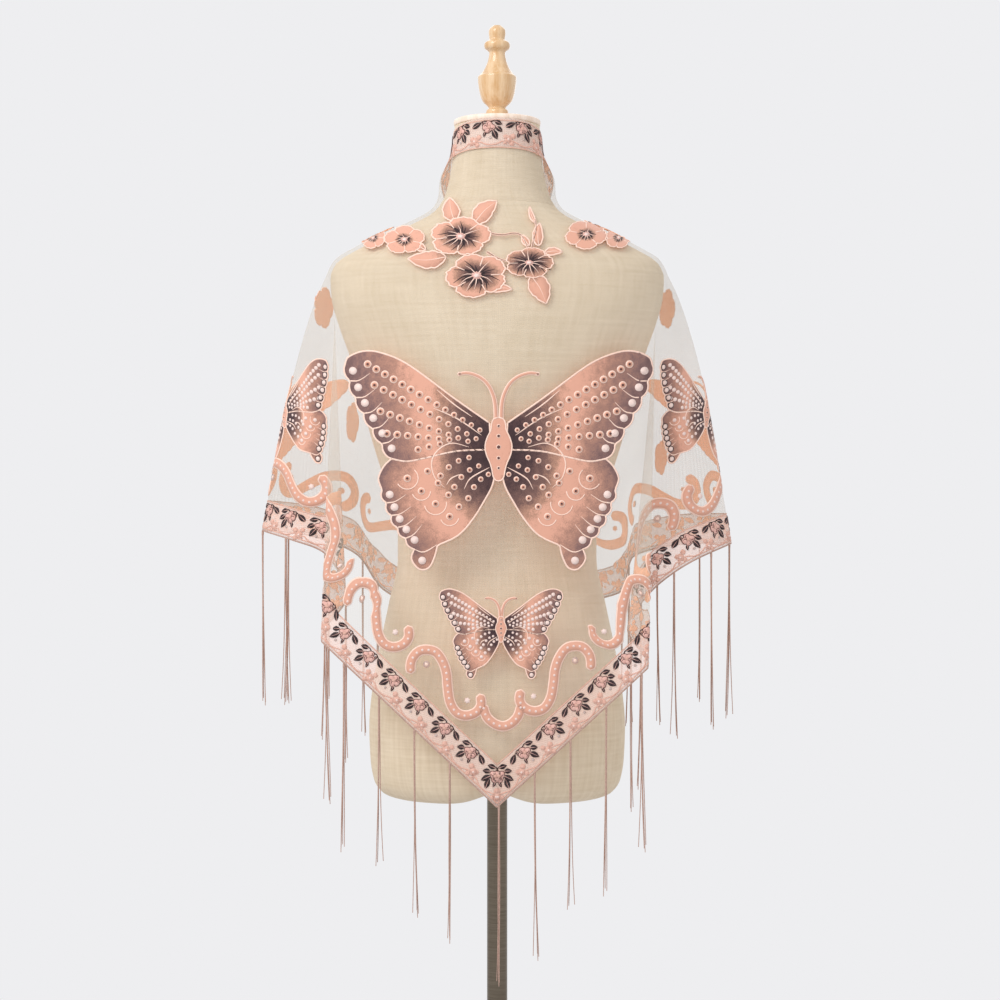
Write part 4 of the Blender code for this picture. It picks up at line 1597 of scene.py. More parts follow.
@dataclass
class Layout:
    """Ways to put a flat drawing, in millimetres, on the worn cloth."""

    drape: Drape
    plane: float = -0.12
    slope_reach: float = 0.025
    steepest: float = 0.8

    def seen(self, start: float, end: float) -> Lay:
        """Straight as seen from behind, on the lines between two places.

        The drawing's origin is on the floor, in the middle of the back.

        Args:
            start: Place in the fold table that it starts from.
            end: Place that it ends at.

        Returns:
            The lay function.
        """
        drape = self.drape
        columns = np.arange(drape.column_at(start), drape.column_at(end) + 1)
        if drape.lines[columns[0], 20, 0] > drape.lines[columns[-1], 20, 0]:
            columns = columns[::-1]

        def lay(x: float, y: float) -> tuple[Vector, Vector]:
            """Finds the cloth's point behind a point of the drawing.

            Args:
                x: Place across, or along the edge.
                y: Place up, or in from the edge.

            Returns:
                The point and its normal.
            """
            depth = self.plane
            for _ in range(4):
                scale = (depth - EYE[1]) / (self.plane - EYE[1])
                wide = EYE[0] + (x * MM - EYE[0]) * scale
                high = EYE[2] + (y * MM - EYE[2]) * scale
                low, part = drape.level_at(high)
                cuts = drape.cuts[low] * (1 - part) + drape.cuts[low + 1] * part
                across = np.maximum.accumulate(cuts[columns, 0])
                depth = float(np.interp(wide, across, cuts[columns, 1]))
                wide = min(max(wide, across[0]), across[-1])
            return drape.settled(Vector((wide, depth, high)))

        return lay

    def hem(self, side: Side) -> Lay:
        """Along a short edge from the middle of the back, and in from it.

        Past the middle it follows the other edge's band, or else goes straight on.

        Args:
            side: Which half.

        Returns:
            The lay function.
        """
        drape = self.drape
        numbers = drape.hem_numbers(side)
        ends = drape.hem(side)
        along = path_distances(ends)

        def lay(x: float, y: float) -> tuple[Vector, Vector]:
            """Finds the cloth's point at distances along the edge and in from it.

            Args:
                x: Place across, or along the edge.
                y: Place up, or in from the edge.

            Returns:
                The point and its normal.
            """
            if x < 0 and y < BAND_WIDTH / MM:
                return self.hem(Side(-side.value))(-x, y)
            on, past, up = max(x, 0) * MM, min(x, 0) * MM, y * MM
            reach = (max(on - self.slope_reach, 0), min(on + self.slope_reach, along[-1]))
            rise = np.diff(np.interp(reach, along, ends[:, 2]))[0] / (reach[1] - reach[0])
            sine = min(max(rise, -self.steepest), self.steepest)
            cosine = math.sqrt(1 - sine * sine)
            height = np.interp(on, along, ends[:, 2]) + up * cosine + past * sine
            arc = drape.arc_of(np.interp(on, along, numbers), height)
            arc += side.value * (past * cosine - up * sine)
            return drape.settled(drape.level_point(arc, height))

        return lay

    def collar(self) -> Lay:
        """Along the neck edge from the middle of the back, and down from it.

        Returns:
            The lay function.
        """
        drape = self.drape
        along = path_distances(drape.lines[:, 0]) / MM
        along -= along[drape.middle]
        numbers = np.arange(len(along))
        return lambda x, y: drape.on_line(float(np.interp(x, along, numbers)), lambda k: y * MM)

    def front_edge(self, side: Side) -> Lay:
        """Down a front edge from the neck, and in from it.

        Args:
            side: Which half.

        Returns:
            The lay function.
        """
        drape = self.drape
        edge = drape.column_at(side.value * FRONT_EDGE)
        inner = drape.column_at(side.value * FRONT_BAND_START)

        def lay(x: float, y: float) -> tuple[Vector, Vector]:
            """Finds the cloth's point at distances down the edge and in from it."""
            share = x * MM / drape.lengths[edge]
            column = edge + (inner - edge) * y * MM / BAND_WIDTH
            return drape.on_line(column, lambda k: share * drape.lengths[k])

        return lay

    def around(self, place: float, height: float) -> Lay:
        """Flat against the cloth round a point on one of its lines."""
        drape = self.drape
        start = drape.arc_of(drape.column_at(place), height)
        return lambda x, y: drape.settled(drape.level_point(start + x * MM, height + y * MM))


@dataclass
class Butterfly:
    """A swallowtail with spread wings, drawn about its body in millimetres."""

    line: float = 2.0
    spot: float = 1.0
    pitch: float = 5.0
    bulge: float = 4.0
    rimmed: bool = False

    def wing_line(self) -> np.ndarray:
        """Line between the upper and the lower wing, from the margin to the body."""
        return smooth_path(WING_LINE, 5)

    def scallops(self, valleys: np.ndarray, lobes: int, bulge: float) -> tuple[np.ndarray, np.ndarray]:
        """A margin of round lobes.

        Args:
            valleys: Line through the valleys, with the wing on its right.
            lobes: Number of lobes.
            bulge: How far a lobe stands out.

        Returns:
            The margin, and the valleys between lobes.
        """
        total = path_distances(valleys)[-1]
        stops = even_path(valleys, np.linspace(0, total, lobes + 1))
        margin = [stops[0]]
        for start, end in zip(stops, stops[1:]):
            run = end - start
            for share in np.linspace(0, 1, 7)[1:]:
                margin.append(start + run * share + left_of(run) * bulge * math.sin(math.pi * share) ** 0.7)
        return np.array(margin), stops

    def upper_wing(self) -> tuple[np.ndarray, np.ndarray, np.ndarray]:
        """Outline, margin and valleys of the upper wing."""
        edge = smooth_path(UPPER_EDGE, 4)
        margin, valleys = self.scallops(smooth_path(UPPER_MARGIN, 6), 6, self.bulge)
        return np.vstack([edge, margin[1:], self.wing_line()[1:]]), margin, valleys

    def lower_wing(self) -> tuple[np.ndarray, np.ndarray, np.ndarray]:
        """Outline, margin and valleys of the lower wing.

        Returns:
            The three lines.
        """
        shoulder, tail, inner = (smooth_path(nodes, 3) for nodes in LOWER_EDGES)
        margin, valleys = self.scallops(smooth_path(LOWER_MARGIN, 6), 5, self.bulge)
        outline = np.vstack([self.wing_line()[::-1], shoulder[1:], margin[1:], tail[1:], inner[1:]])
        return outline, np.vstack([shoulder, margin]), valleys

    def wing_shade(self, margin: np.ndarray, tones: Sequence[Pair]) -> Shade:
        """Shade of a wing: dark by the body, peach further out, brown at the margin.

        Args:
            margin: Points of the wing's margin.
            tones: Shares of the way from the body to the margin, each with its shade.

        Returns:
            The shade at a point.
        """
        stops, shades = zip(*tones)

        def shade(x: float, y: float) -> float:
            """Shade by the share of the way from the body to the margin."""
            reach = math.hypot(x - WING_ROOT[0], y - WING_ROOT[1])
            left = float(np.min(np.hypot(margin[:, 0] - x, margin[:, 1] - y)))
            return float(np.interp(reach / (reach + left), stops, shades))

        return shade

    def draw(self, art: Print, lay: Lay) -> None:
        """Draws the whole butterfly."""
        for mirror in (1, -1):
            self.draw_wings(art, placed(lay, 0, 0, size=(mirror, 1)))
        self.draw_body(art, lay)

    def draw_wings(self, art: Print, lay: Lay) -> None:
        """Draws the wings of one side.

        Args:
            art: Print to draw in.
            lay: Lays it on the cloth.
        """
        wings = (self.upper_wing(), UPPER_TONES), (self.lower_wing(), LOWER_TONES)
        for (outline, margin, valleys), tones in wings:
            art.patch(outline, lay, FLOCK, 0, self.wing_shade(margin, tones), self.pitch)
            self.draw_margin(art, lay, valleys)
        self.draw_lobe_spot(art, lay, TAIL_SPOT)
        for (outline, _, _), _ in wings:
            art.ribbon(np.vstack([outline, outline[:1]]), lambda s: self.line, lay, PALE_OUTLINE, 1)
        for start, end, count in RING_ROWS:
            for place in np.linspace(start, end, count):
                self.draw_ring(art, lay, tuple(place))
        for vein in VEINS:
            path = smooth_path(vein, 5)
            art.ribbon(
                path, lambda s: self.line * 0.8 * math.sin(math.pi * (0.1 + 0.8 * s)), lay, PALE_OUTLINE, 2
            )
        for x, y, radius, start, end in EYE_ARCS:
            path = round_path(x, y, radius, np.radians(np.linspace(start, end, 12)))
            art.ribbon(path, lambda s: self.line * 0.6, lay, PALE_OUTLINE, 2)

    def draw_ring(self, art: Print, lay: Lay, place: Pair) -> None:
        """Draws a pale ring with a brown middle, smaller near the body.

        Args:
            art: Print to draw in.
            lay: Lays it on the cloth.
            place: Its middle.
        """
        radius = (2.5 + 2.2 * min(1.0, math.hypot(*place) / 120)) * self.spot
        if self.rimmed:
            art.disc(place, radius * 0.85, lay, PALE_DOT, 2)
            return
        art.disc(place, radius, lay, PALE_OUTLINE, 2)
        art.disc(place, radius * 0.68, lay, PEACH_SPOT, 3)
        art.disc(place, radius * 0.34, lay, BROWN_DOT, 4)

    def draw_lobe_spot(self, art: Print, lay: Lay, place: Pair) -> None:
        """Draws the pale spot of a lobe, with a dark rim on a small butterfly."""
        if self.rimmed:
            art.disc(place, 6.2 * self.spot, lay, NEAR_BLACK, 2)
        art.disc(place, 4.7 * self.spot, lay, PALE_DOT, 3)

    def draw_margin(self, art: Print, lay: Lay, valleys: np.ndarray) -> None:
        """Draws the spots in the lobes, and the short veins between them.

        Args:
            art: Print to draw in.
            lay: Lays it on the cloth.
            valleys: Valleys between the lobes.
        """
        for start, end in zip(valleys, valleys[1:]):
            self.draw_lobe_spot(art, lay, tuple((start + end) / 2 - left_of(end - start) * 6.5))
        for before, valley in zip(valleys, valleys[1:-1]):
            run = valley - before
            aside = left_of(run)
            path = smooth_path((valley, valley - aside * 10 + run * 0.12, valley - aside * 25 - run * 0.1), 4)
            art.ribbon(path, lambda s: self.line * (0.9 - 0.7 * s), lay, PALE_OUTLINE, 1)

    def draw_body(self, art: Print, lay: Lay) -> None:
        """Draws the body with its row of spots, and the feelers.

        Args:
            art: Print to draw in.
            lay: Lays it on the cloth.
        """
        half = smooth_path(BODY_PROFILE, 3)
        outline = np.vstack([half, half[-2:0:-1] * (-1, 1)])
        art.patch(outline, lay, FLOCK, 4, lambda x, y: 0.58, self.pitch)
        closed = np.vstack([outline, outline[:1]])
        art.ribbon(closed, lambda s: self.line * 0.8, lay, PALE_OUTLINE, 5, step=3.0)
        for height in (24.8, 13.0, 0.0, -13.0, -24.8):
            art.disc((0, height), (2.9 - 0.03 * abs(height)) * self.spot, lay, PALE_OUTLINE, 5)
            art.disc((0, height), (2.0 - 0.03 * abs(height)) * self.spot, lay, BROWN_DOT, 6)
        for mirror in (1, -1):
            side = placed(lay, 0, 0, size=(mirror, 1))
            path = smooth_path(FEELER, 4)
            art.ribbon(path, lambda s: self.line * (3.0 - 0.9 * s), side, PALE_OUTLINE, 2)
            art.ribbon(path, lambda s: self.line * (1.7 - 0.5 * s), side, FLOCK, 3)
            art.disc(FEELER[-1], 2.6, side, PALE_OUTLINE, 3)
            art.disc(FEELER[-1], 1.4, side, TAN_DOT, 4)


# Outlines of a large butterfly's wings, in millimetres from its body
WING_LINE = ((126, -14), (108, -17), (86, -13), (50, -5), (9, -3))
UPPER_EDGE = ((10.6, 28.3), (53, 58), (106, 97), (138, 111), (159, 113), (177, 106), (180.5, 98))
UPPER_MARGIN = ((180.5, 98), (176, 82), (163, 48), (126, -14))
LOWER_MARGIN = ((137, -51), (121.5, -90), (99, -120))
LOWER_EDGES = (
    ((126, -14), (134.5, -22), (141.6, -37), (137, -51)),
    ((99, -120), (102.7, -132), (94, -144), (82.6, -143), (75.5, -130), (72, -116)),
    ((72, -116), (47, -104), (29.5, -84), (17.7, -65), (8.3, -48), (5, -36.6)),
)
TAIL_SPOT = (90, -134)
WING_ROOT = (4, 4)
# Share of the way from the body to a wing's margin, and the print's shade there
UPPER_TONES = (
    *((0, 0.02), (0.30, 0.20), (0.45, 0.37), (0.56, 0.52)),
    *((0.66, 0.64), (0.78, 0.76), (0.92, 0.85), (1, 0.93)),
)
LOWER_TONES = (
    *((0, 0.02), (0.32, 0.16), (0.48, 0.34), (0.58, 0.50)),
    *((0.72, 0.60), (0.84, 0.71), (0.95, 0.80), (1, 0.92)),
)
# Rows of rings on a large wing: start and end in millimetres from the body, and number
RING_ROWS = (
    ((154, 97.6), (22, 20), 14),
    ((146, 73), (26.5, 9.7), 12),
    ((139, 42), (36, 6.7), 10),
    ((131.5, 15.7), (58, 8.4), 7),
    ((94.8, -3), (69, 3.5), 3),
    ((107.5, -37), (57.7, -82), 4),
    ((83.7, -28.5), (46.7, -70.5), 4),
    ((68.4, -34), (35.6, -60.5), 3),
    ((58.6, -23.8), (29, -47.3), 3),
    ((47, -16.3), (21, -38), 3),
    ((34.8, -12.5), (12, -32.3), 3),
)
VEINS = (
    ((72.7, 67.5), (52, 50), (31, 35.5)),
    ((76.5, 45.8), (48, 33), (20, 13.8)),
    ((35, 0), (55.8, 4.5), (72.7, -5), (79, -20), (74.6, -37), (63.4, -48)),
    ((61.5, -45), (55.8, -37), (44.5, -32)),
    ((40.7, -50), (33, -37), (10.6, -24)),
    ((101, -120), (88, -124), (72, -115)),
)
# Thin arcs round the lower wing's outer rings: place, radius, and angles from and to
EYE_ARCS = (
    (107.5, -37, 13, 130, 330),
    (91, -52, 11, 180, 340),
    (74.3, -67, 13, 170, 350),
    (57.7, -82, 11, 190, 340),
)
BODY_PROFILE = (
    *((0, 34.8), (5.9, 33.0), (8.3, 27.1), (8.9, 20.0), (13.0, 11.8), (15.9, 1.2)),
    *((14.2, -9.4), (10.0, -18.9), (7.7, -27.1), (6.5, -34.2), (4.1, -38.9), (0, -40.1)),
)
FEELER = ((3, 31.9), (3.5, 46), (5.3, 57.8), (10.6, 70.8), (18.9, 80.2), (29.5, 85.6), (38.9, 87.3), (46, 86.1))


@dataclass
class Blossom:
    """An open flower of five ruffled petals with a dark, rayed heart."""

    radius: float = 30.0
    rays: int = 26
    line: float = 1.7
    heart: float = 1.0
    swirl: float = 0.55

    def margin(self, angle: float) -> float:
        """Radius of the petals' edge at an angle."""
        petal = abs(math.cos(2.5 * angle)) ** 0.5
        frill = 0.022 * math.sin(31 * angle) + 0.02 * math.sin(19 * angle + 2)
        return self.radius * (0.78 + 0.20 * petal + frill + 0.04 * math.sin(2 * angle + 1))

    def draw(self, art: Print, lay: Lay) -> None:
        """Draws the flower about the origin.

        Args:
            art: Print to draw in.
            lay: Lays it on the cloth.
        """

        def shade(x: float, y: float) -> float:
            """Peach, darker towards the heart."""
            reach = math.hypot(x, y) / self.radius
            return min(0.55, 0.08 + 0.66 * max(0.0, reach / self.heart - 0.10))

        art.blob(self.margin, lay, FLOCK, 2, shade, around=90, rings=8)
        turns = np.linspace(0, math.tau, 91)
        edge = round_path(0, 0, np.array([self.margin(turn) for turn in turns]), turns)
        art.ribbon(edge, lambda s: self.line, lay, PALE_OUTLINE, 3, step=2.5)
        for k in range(self.rays):
            turn = math.tau * (k + 0.35 * math.sin(5.1 * k)) / self.rays
            start = 0.10 * self.radius
            end = (0.62 + 0.16 * math.sin(3.7 * k)) * self.radius * self.heart
            bend = self.swirl * math.cos(turn - 2.0) + 0.1 * math.sin(2.3 * k)
            path = round_path(0, 0, np.linspace(start, end, 3), turn + np.linspace(0, bend, 3))
            # Two dark rays, then a pale one
            full, finish, layer = (2.4, NEAR_BLACK, 3) if k % 3 < 2 else (1.3, PALE_OUTLINE, 4)
            art.ribbon(path, lambda share, full=full: full * (1 - 0.85 * share), lay, finish, layer)
        for k in range(5):
            turn = math.tau * (k + 0.5) / 5
            path = round_path(0, 0, np.array((0.45 * self.radius, self.margin(turn))), np.array((turn, turn)))
            art.ribbon(path, lambda s: self.line * 0.7, lay, PALE_OUTLINE, 4)
        art.blob(lambda a: self.radius * (0.16 + 0.03 * math.cos(7 * a)), lay, ROSE, 5, around=28)
        art.blob(lambda a: self.radius * (0.09 + 0.02 * math.cos(5 * a)), lay, PALE_DOT, 6, around=20)


def draw_leaf(art: Print, lay: Lay, start: Pair, end: Pair, width: float, line: float = 1.6) -> None:
    """Draws a pointed peach leaf with a pale edge and midrib.

    Args:
        art: Print that gets the leaf.
        lay: Lays it on the cloth.
        start: Foot of the leaf.
        end: Its tip.
        width: Its width.
        line: Width of its pale edge.
    """
    foot = np.array(start, float)
    run = np.array(end, float) - foot
    aside = np.array((-run[1], run[0])) * 0.06
    path = smooth_path((foot, foot + run * 0.5 + aside, foot + run), 6)

    def half(share: float) -> float:
        """Width of the leaf, with a ruffled edge."""
        ruffle = 1 + 0.10 * math.sin(26 * share)
        return width * math.sin(math.pi * min(1, max(0, share)) ** 0.8) ** 0.8 * ruffle

    def shade(x: float, y: float) -> float:
        """Peach, a little darker at the foot."""
        return min(0.56, 0.40 + 0.35 * math.hypot(x - start[0], y - start[1]) / math.hypot(*run))

    art.ribbon(path, half, lay, FLOCK, 0, shade, across=2)
    along = np.linspace(0, 1, len(path))
    normals = unit(np.gradient(path, axis=0))[:, ::-1] * (-1, 1)
    reach = np.array([half(share) for share in along])[:, None] / 2
    for mirror in (1, -1):
        art.ribbon(path + normals * reach * mirror, lambda share: line, lay, PALE_OUTLINE, 1)
    art.ribbon(path, lambda share: line * 0.6 * (1.1 - share), lay, PALE_OUTLINE, 1)


def draw_scroll(
    art: Print, lay: Lay, nodes: Sequence[Pair], width: float = 12.6, edge: float = 1.4, pitch: float = 7.4
) -> None:
    """Draws a peach ribbon with a pale edge and a row of pale dots.

    Args:
        art: Print that gets the scroll.
        lay: Lays it on the cloth.
        nodes: Points of its middle line.
        width: Its width.
        edge: Width of its pale edge.
        pitch: Distance between dots.
    """
    path = smooth_path(nodes, 8)
    total = float(path_distances(path)[-1])

    def rounded(share: float, full: float) -> float:
        """Width with round ends.

        Args:
            share: Share of the way along.
            full: Full width.

        Returns:
            The width.
        """
        from_end = min(share, 1 - share) * total
        if from_end >= full / 2:
            return full
        return 2 * math.sqrt(max(0.0, full * from_end - from_end**2))

    art.ribbon(path, lambda share: rounded(share, width), lay, PALE_OUTLINE, 0, across=2, step=2.5)
    trimmed = even_path(path, np.linspace(1.3, total - 1.3, len(path)))
    inner = width - 2 * edge
    art.ribbon(trimmed, lambda share: rounded(share, inner), lay, FLOCK, 1, lambda x, y: 0.57, 2, 2.5)
    for place in even_path(path, np.arange(5.5, total - 4, pitch)):
        art.disc(tuple(place), 1.5, lay, PALE_DOT, 2)


# Near-black leaves of one repeat of the border: foot, tip and width in millimetres
BORDER_LEAVES = (
    ((-4, 25), (8, 31), 6.6),
    ((11, 32), (9, 26.5), 2.6),
    ((24, 32), (33, 28), 6.0),
    ((22, 21), (27, 9.5), 7.0),
    ((26, 25), (33, 19), 6.2),
    ((13, 20), (11, 13), 3.6),
)
BORDER_STEM = ((8, 31), (13, 33), (18, 31), (24, 33), (30, 31))
BORDER_PETALS = ((13, 25), (17, 28.5), (21, 24.5), (16, 21.5))
BORDER_ARCH = ((-7, 4), (0, 9), (8, 7), (16, 3.5), (26, 4), (34, 8), (38, 4))
# Pale blossoms: place across, height over the middle one's, and radius
BORDER_BLOSSOMS = ((-1, 0, 5.0), (5, 4, 3.4), (3, -5, 3.0), (37, 4, 3.0))


def draw_border_unit(art: Print, lay: Lay, number: int) -> None:
    """Draws one repeat of the border: leaves on a stem, a rose and pale blossoms on an arch.

    Args:
        art: Print to draw in.
        lay: Lays it on the cloth.
        number: Number of the repeat.
    """
    for start, end, width in BORDER_LEAVES:
        path = np.array((start, end), float)
        art.ribbon(
            path,
            lambda s, full=width: full * math.sin(math.pi * s**0.85) ** 0.9,
            lay,
            NEAR_BLACK,
            1,
            across=2,
            step=1.8,
        )
        art.ribbon(path, lambda s: 0.7 * (1 - s), lay, ROSE, 2)
    art.ribbon(smooth_path(BORDER_STEM, 3), lambda s: 1.2, lay, NEAR_BLACK, 1)
    for k, (x, y) in enumerate(BORDER_PETALS):
        art.blob(lambda a: 4.3 * (1 + 0.08 * math.cos(3 * a)), placed(lay, x, y), BROWN_DOT, 1, around=16)
        art.blob(lambda a: 3.5 * (1 + 0.10 * math.cos(3 * a)), placed(lay, x, y), ROSE, 2, around=16)
        curl = round_path(x, y, 2.0, np.radians(np.linspace(90 * k, 90 * k + 150, 7)))
        art.ribbon(curl, lambda s: 0.9 * math.sin(math.pi * (0.1 + 0.8 * s)), lay, BROWN_DOT, 3, step=1.6)
    art.disc((17.5, 24.8), 2.2, lay, BLUSH, 4)
    art.ribbon(smooth_path(BORDER_ARCH, 4), lambda s: 1.4, lay, BLUSH, 0)
    # The blossoms stand a little higher or lower from repeat to repeat
    height = 9.0 + 1.5 * math.sin(2.1 * number)
    for x, rise, radius in BORDER_BLOSSOMS:
        place = placed(lay, x, height + rise)
        art.blob(lambda a, r=radius: r * (0.8 + 0.2 * abs(math.cos(2.5 * a))), place, BLUSH, 0, around=20)
    art.disc((-1, height), 1.3, lay, PALE_DOT, 1)
    art.disc((19, 12), 1.7, lay, SEQUIN, 1)


# Middle line of one scroll, from the border's inner line, in millimetres
SCROLL = (
    *((145, 8), (152, 14), (157, 23), (157, 34), (151, 42), (141, 47), (127, 44), (115, 37)),
    *((104, 27), (90, 16), (76, 12), (65, 17), (59, 28), (61, 39), (71, 47)),
)
# Middle line of the scroll at the point of the back, across and from the floor
CENTRE_SCROLL = ((-17, 817), (-13, 803), (-4, 794), (7, 790.5), (17, 794), (25, 803), (29, 817))
SCROLL_START = 34.0


@dataclass
class PrintedMotifs:
    """All the print on the shawl."""

    layout: Layout
    repeat: float = 41.0
    scroll_repeat: float = 117.0
    right_shift: float = 8.0
    scroll_room: float = 20.0
    # Room of the border's repeats from the start and the end of an edge
    hem_room: Pair = (8.0, 45.0)
    front_room: Pair = (40.0, 45.0)
    collar_room: Pair = (22.0, 40.0)

    def build(self) -> list[Piece]:
        """Draws every group of motifs.

        Returns:
            The pieces.
        """
        return [
            self.back_butterflies(),
            self.sprays(),
            self.sleeve_motifs(),
            *(self.scrolls(side) for side in Side),
            self.border(),
        ]

    def back_butterflies(self) -> Piece:
        """Draws the large butterfly on the back and the small one under it.

        Returns:
            The piece.
        """
        art = Print("back_butterflies")
        back = self.layout.seen(-CREST, CREST)
        Butterfly().draw(art, placed(back, 1.8, 1120))
        small = placed(back, 4.7, 906, size=(0.40, 0.41))
        Butterfly(line=3.4, spot=1.35, pitch=10.0, rimmed=True).draw(art, small)
        return art.build(Slot.BAND)

    def sprays(self) -> Piece:
        """Draws the flowers across the nape and shoulders.

        Returns:
            The piece.
        """
        art = Print("nape_spray")
        back = self.layout.seen(-5, 5)
        for x, z, turn, wide, high, heart in NAPE_FLOWERS:
            Blossom(heart=heart).draw(art, placed(placed(back, x, z, size=(wide, high)), 0, 0, turn))
        for start, end, width in NAPE_LEAVES:
            draw_leaf(art, back, start, end, width)
        for nodes in NAPE_STEMS:
            path = smooth_path(nodes, 5)
            art.ribbon(path, lambda share: 3.0 - share, back, PALE_OUTLINE, 0)
            art.ribbon(path, lambda share: 1.5 - 0.8 * share, back, TAN_DOT, 1)
        return art.build(Slot.BAND)

    def sleeve_motifs(self) -> Piece:
        """Draws the butterflies over the arms, and the flowers on both fronts.

        Returns:
            The piece.
        """
        art = Print("side_motifs")
        for side in Side:
            lay = self.layout.around(side.value * 6, 1.165)
            drawn = placed(lay, side.value * -12, 0, side.value * -8, (0.48, 0.48))
            Butterfly(line=3.2, spot=1.3, pitch=9.0, rimmed=True).draw(art, drawn)
            for place, height, turn, size in FRONT_FLOWERS:
                lay = self.layout.around(side.value * place, height)
                Blossom(line=2.0).draw(art, placed(lay, 0, 0, side.value * turn, (size * side.value, size)))
            far = self.layout.seen(*sorted((side.value * 6, side.value * 12)))
            for x, z, wide, high in FAR_FLOWERS[side]:
                Blossom(line=2.0, rays=12).draw(art, placed(far, x, z, size=(wide, high)))
        return art.build(Slot.BAND)

    def scrolls(self, side: Side) -> Piece:
        """Draws the scrolls above the border of one short edge.

        Args:
            side: Which half.

        Returns:
            The piece.
        """
        art = Print(f"scrolls_{side.name.lower()}")
        lay = placed(self.layout.hem(side), 0, BAND_WIDTH / MM)
        total = path_distances(self.layout.drape.hem(side))[-1] / MM
        if side is Side.RIGHT:
            draw_scroll(art, self.layout.seen(-1, 1), CENTRE_SCROLL)
        start = SCROLL_START + (self.right_shift if side is Side.RIGHT else 0.0)
        while start + SCROLL[2][0] < total - self.scroll_room:
            unit_lay = placed(lay, start, 0)
            draw_scroll(art, unit_lay, SCROLL)
            art.disc((140, 29), 4.2, unit_lay, SEQUIN, 1)
            art.disc((140, 29), 1.8, unit_lay, PALE_OUTLINE, 2)
            star = placed(unit_lay, 76, 31)
            art.blob(lambda a: 3.2 * (1 + 0.2 * math.cos(6 * a)), star, PALE_DOT, 1, around=24)
            start += self.scroll_repeat
        return art.build(Slot.BAND)

    def border(self) -> Piece:
        """Draws the border's repeats along every edge.

        Returns:
            The piece.
        """
        art = Print("border_print")
        drape = self.layout.drape
        for side in Side:
            total = path_distances(drape.hem(side))[-1] / MM
            self.repeat_along(art, self.layout.hem(side), (0, total), self.hem_room)
            total = drape.lengths[drape.column_at(side.value * FRONT_EDGE)] / MM
            self.repeat_along(art, self.layout.front_edge(side), (0, total), self.front_room)
        top = path_distances(drape.lines[:, 0]) / MM
        ends = (-top[drape.middle], top[-1] - top[drape.middle])
        # The collar is folded over, so its print stands upside down
        collar = placed(self.layout.collar(), 0, BAND_WIDTH / MM, size=(1, -1))
        self.repeat_along(art, collar, ends, self.collar_room)
        return art.build(Slot.BAND)

    def repeat_along(self, art: Print, lay: Lay, ends: Pair, room: Pair) -> None:
        """Draws whole repeats between the ends of an edge."""
        start = ends[0] + room[0]
        for number in range(int((ends[1] - room[1] - start) / self.repeat) + 1):
            draw_border_unit(art, placed(lay, start + number * self.repeat, 0), number)


# Flowers across the nape: place and height in millimetres, turn, sizes across and up, and heart
NAPE_FLOWERS = (
    (-43, 1368, 10, 1.18, 0.78, 1.0),
    (-24, 1322, 40, 1.24, 0.86, 1.05),
    (38, 1337, 75, 1.0, 0.58, 1.3),
    (-109, 1364, 20, 0.80, 0.56, 0.6),
    (105, 1370, 55, 0.86, 0.56, 0.6),
    (-146, 1366, 35, 0.50, 0.42, 0.6),
    (143, 1366, 5, 0.50, 0.42, 0.6),
)
NAPE_LEAVES = (
    ((-50, 1386), (-55, 1414), 20),
    ((-27, 1383), (0, 1410), 21),
    ((-60, 1344), (-105, 1342), 20),
    ((-12, 1306), (18, 1306), 10),
    ((40, 1322), (58, 1289), 24),
    ((56, 1349), (77, 1350), 9),
    ((49, 1357), (50, 1384), 12),
    ((38, 1357), (30, 1370), 8),
    ((45, 1384), (38, 1403), 5),
    ((-84, 1352), (-99, 1363), 9),
)
NAPE_STEMS = (
    ((-10, 1372), (6, 1370), (20, 1372), (30, 1368), (37, 1352)),
    ((40, 1350), (43, 1364), (46, 1376), (45, 1388)),
    ((-12, 1350), (2, 1342), (14, 1339)),
)
# Flowers on the fronts: place in the fold table, height, turn and size
FRONT_FLOWERS = (
    (10.4, 1.150, 0, 0.80),
    (10.0, 1.095, 50, 0.70),
    (9.7, 1.245, 20, 0.75),
)
# Flowers on the far side of each sleeve: place and height in millimetres, and sizes
FAR_FLOWERS = {
    Side.LEFT: ((-204, 1284, 0.36, 0.84), (-170, 1149, 0.24, 0.82)),
    Side.RIGHT: ((200, 1283, 0.30, 0.80), (193, 1107, 0.24, 0.70)),
}


# Studio


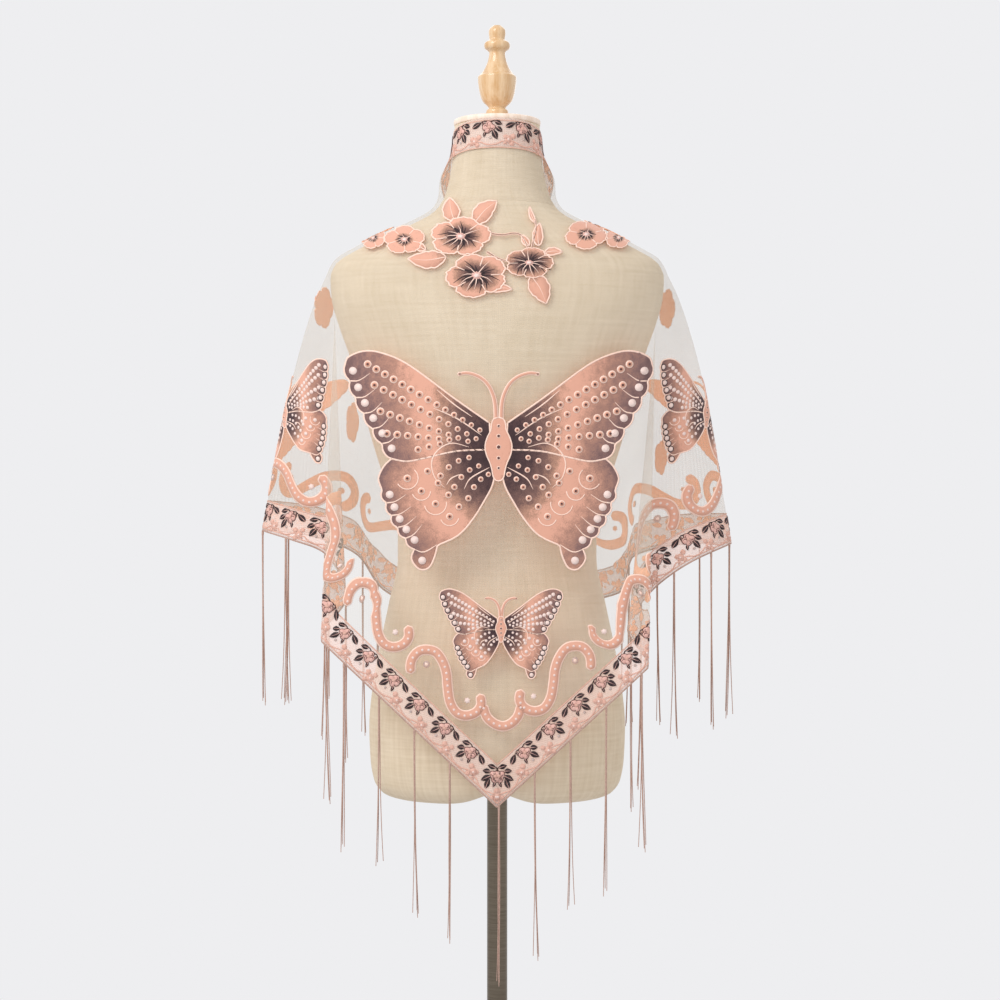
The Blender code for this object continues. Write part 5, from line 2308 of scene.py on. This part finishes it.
@dataclass
class Studio:
    """Pale floor, soft light and the camera behind the form."""

    floor_radius: float = 1.8
    lens: float = 79.3

    def build(self) -> None:
        """Makes the floor, lights, world and camera."""
        shape = bmesh.new()
        bmesh.ops.create_circle(shape, cap_ends=True, cap_tris=False, segments=96, radius=self.floor_radius)
        for vert in shape.verts:
            vert.co.z = -0.0005
        mesh = bpy.data.meshes.new("floor")
        shape.to_mesh(mesh)
        shape.free()
        mesh.materials.append(STUDIO.material())
        floor = bpy.data.objects.new("floor", mesh)
        bpy.context.scene.collection.objects.link(floor)
        self.light("key", (-1.7, -2.0, 3.2), 1.6, 58.0)
        self.light("fill", (2.2, -1.9, 1.6), 2.4, 2.0)
        self.light("rim", (0.3, 2.4, 2.4), 2.2, 12.0)
        self.set_world()
        self.set_camera()

    def light(self, name: str, place: tuple[float, float, float], size: float, power: float) -> None:
        """Adds a soft area light aimed at the shawl.

        Args:
            name: Its name.
            place: Its place.
            size: Its width.
            power: Its power in watts.
        """
        lamp = bpy.data.lights.new(name, "AREA")
        lamp.size = size
        lamp.energy = power
        stand = bpy.data.objects.new(name, lamp)
        stand.location = place
        aim = Vector((0.0, 0.0, 1.1)) - stand.location
        stand.rotation_euler = aim.to_track_quat("-Z", "Y").to_euler()
        bpy.context.scene.collection.objects.link(stand)

    def set_world(self) -> None:
        """Makes the plain pale surroundings."""
        world = bpy.data.worlds.new("studio")
        world.use_nodes = True
        back = world.node_tree.nodes["Background"]
        back.inputs[0].default_value = linear("#EEEEF0")
        back.inputs[1].default_value = 1.0
        scene = bpy.context.scene
        scene.world = world
        scene.view_settings.view_transform = "Standard"
        scene.cycles.transparent_max_bounces = 24

    def set_camera(self) -> None:
        """Sets the camera level behind the form."""
        lens = bpy.data.cameras.new("camera")
        lens.lens = self.lens
        lens.sensor_width = 36.0
        camera = bpy.data.objects.new("camera", lens)
        camera.location = EYE
        camera.rotation_euler = (math.radians(90), 0.0, 0.0)
        bpy.context.scene.collection.objects.link(camera)
        bpy.context.scene.camera = camera


def main() -> None:
    """Builds the dressed form in its studio."""
    logging.basicConfig(level=logging.INFO, format="%(name)s: %(message)s")
    form = DressForm()
    torso = form.build()
    Stand().build()
    NeckTop().build()
    drape = Drape(form)
    shawl = Shawl(drape)
    net = shawl.build_net()
    with_net = [*shawl.build_bands(), shawl.build_lines()]
    with_net += [Fringe(drape, side).build() for side in Side]
    with_net += PrintedMotifs(Layout(drape)).build()
    Studio().build()


if __name__ == "__main__":
    main()
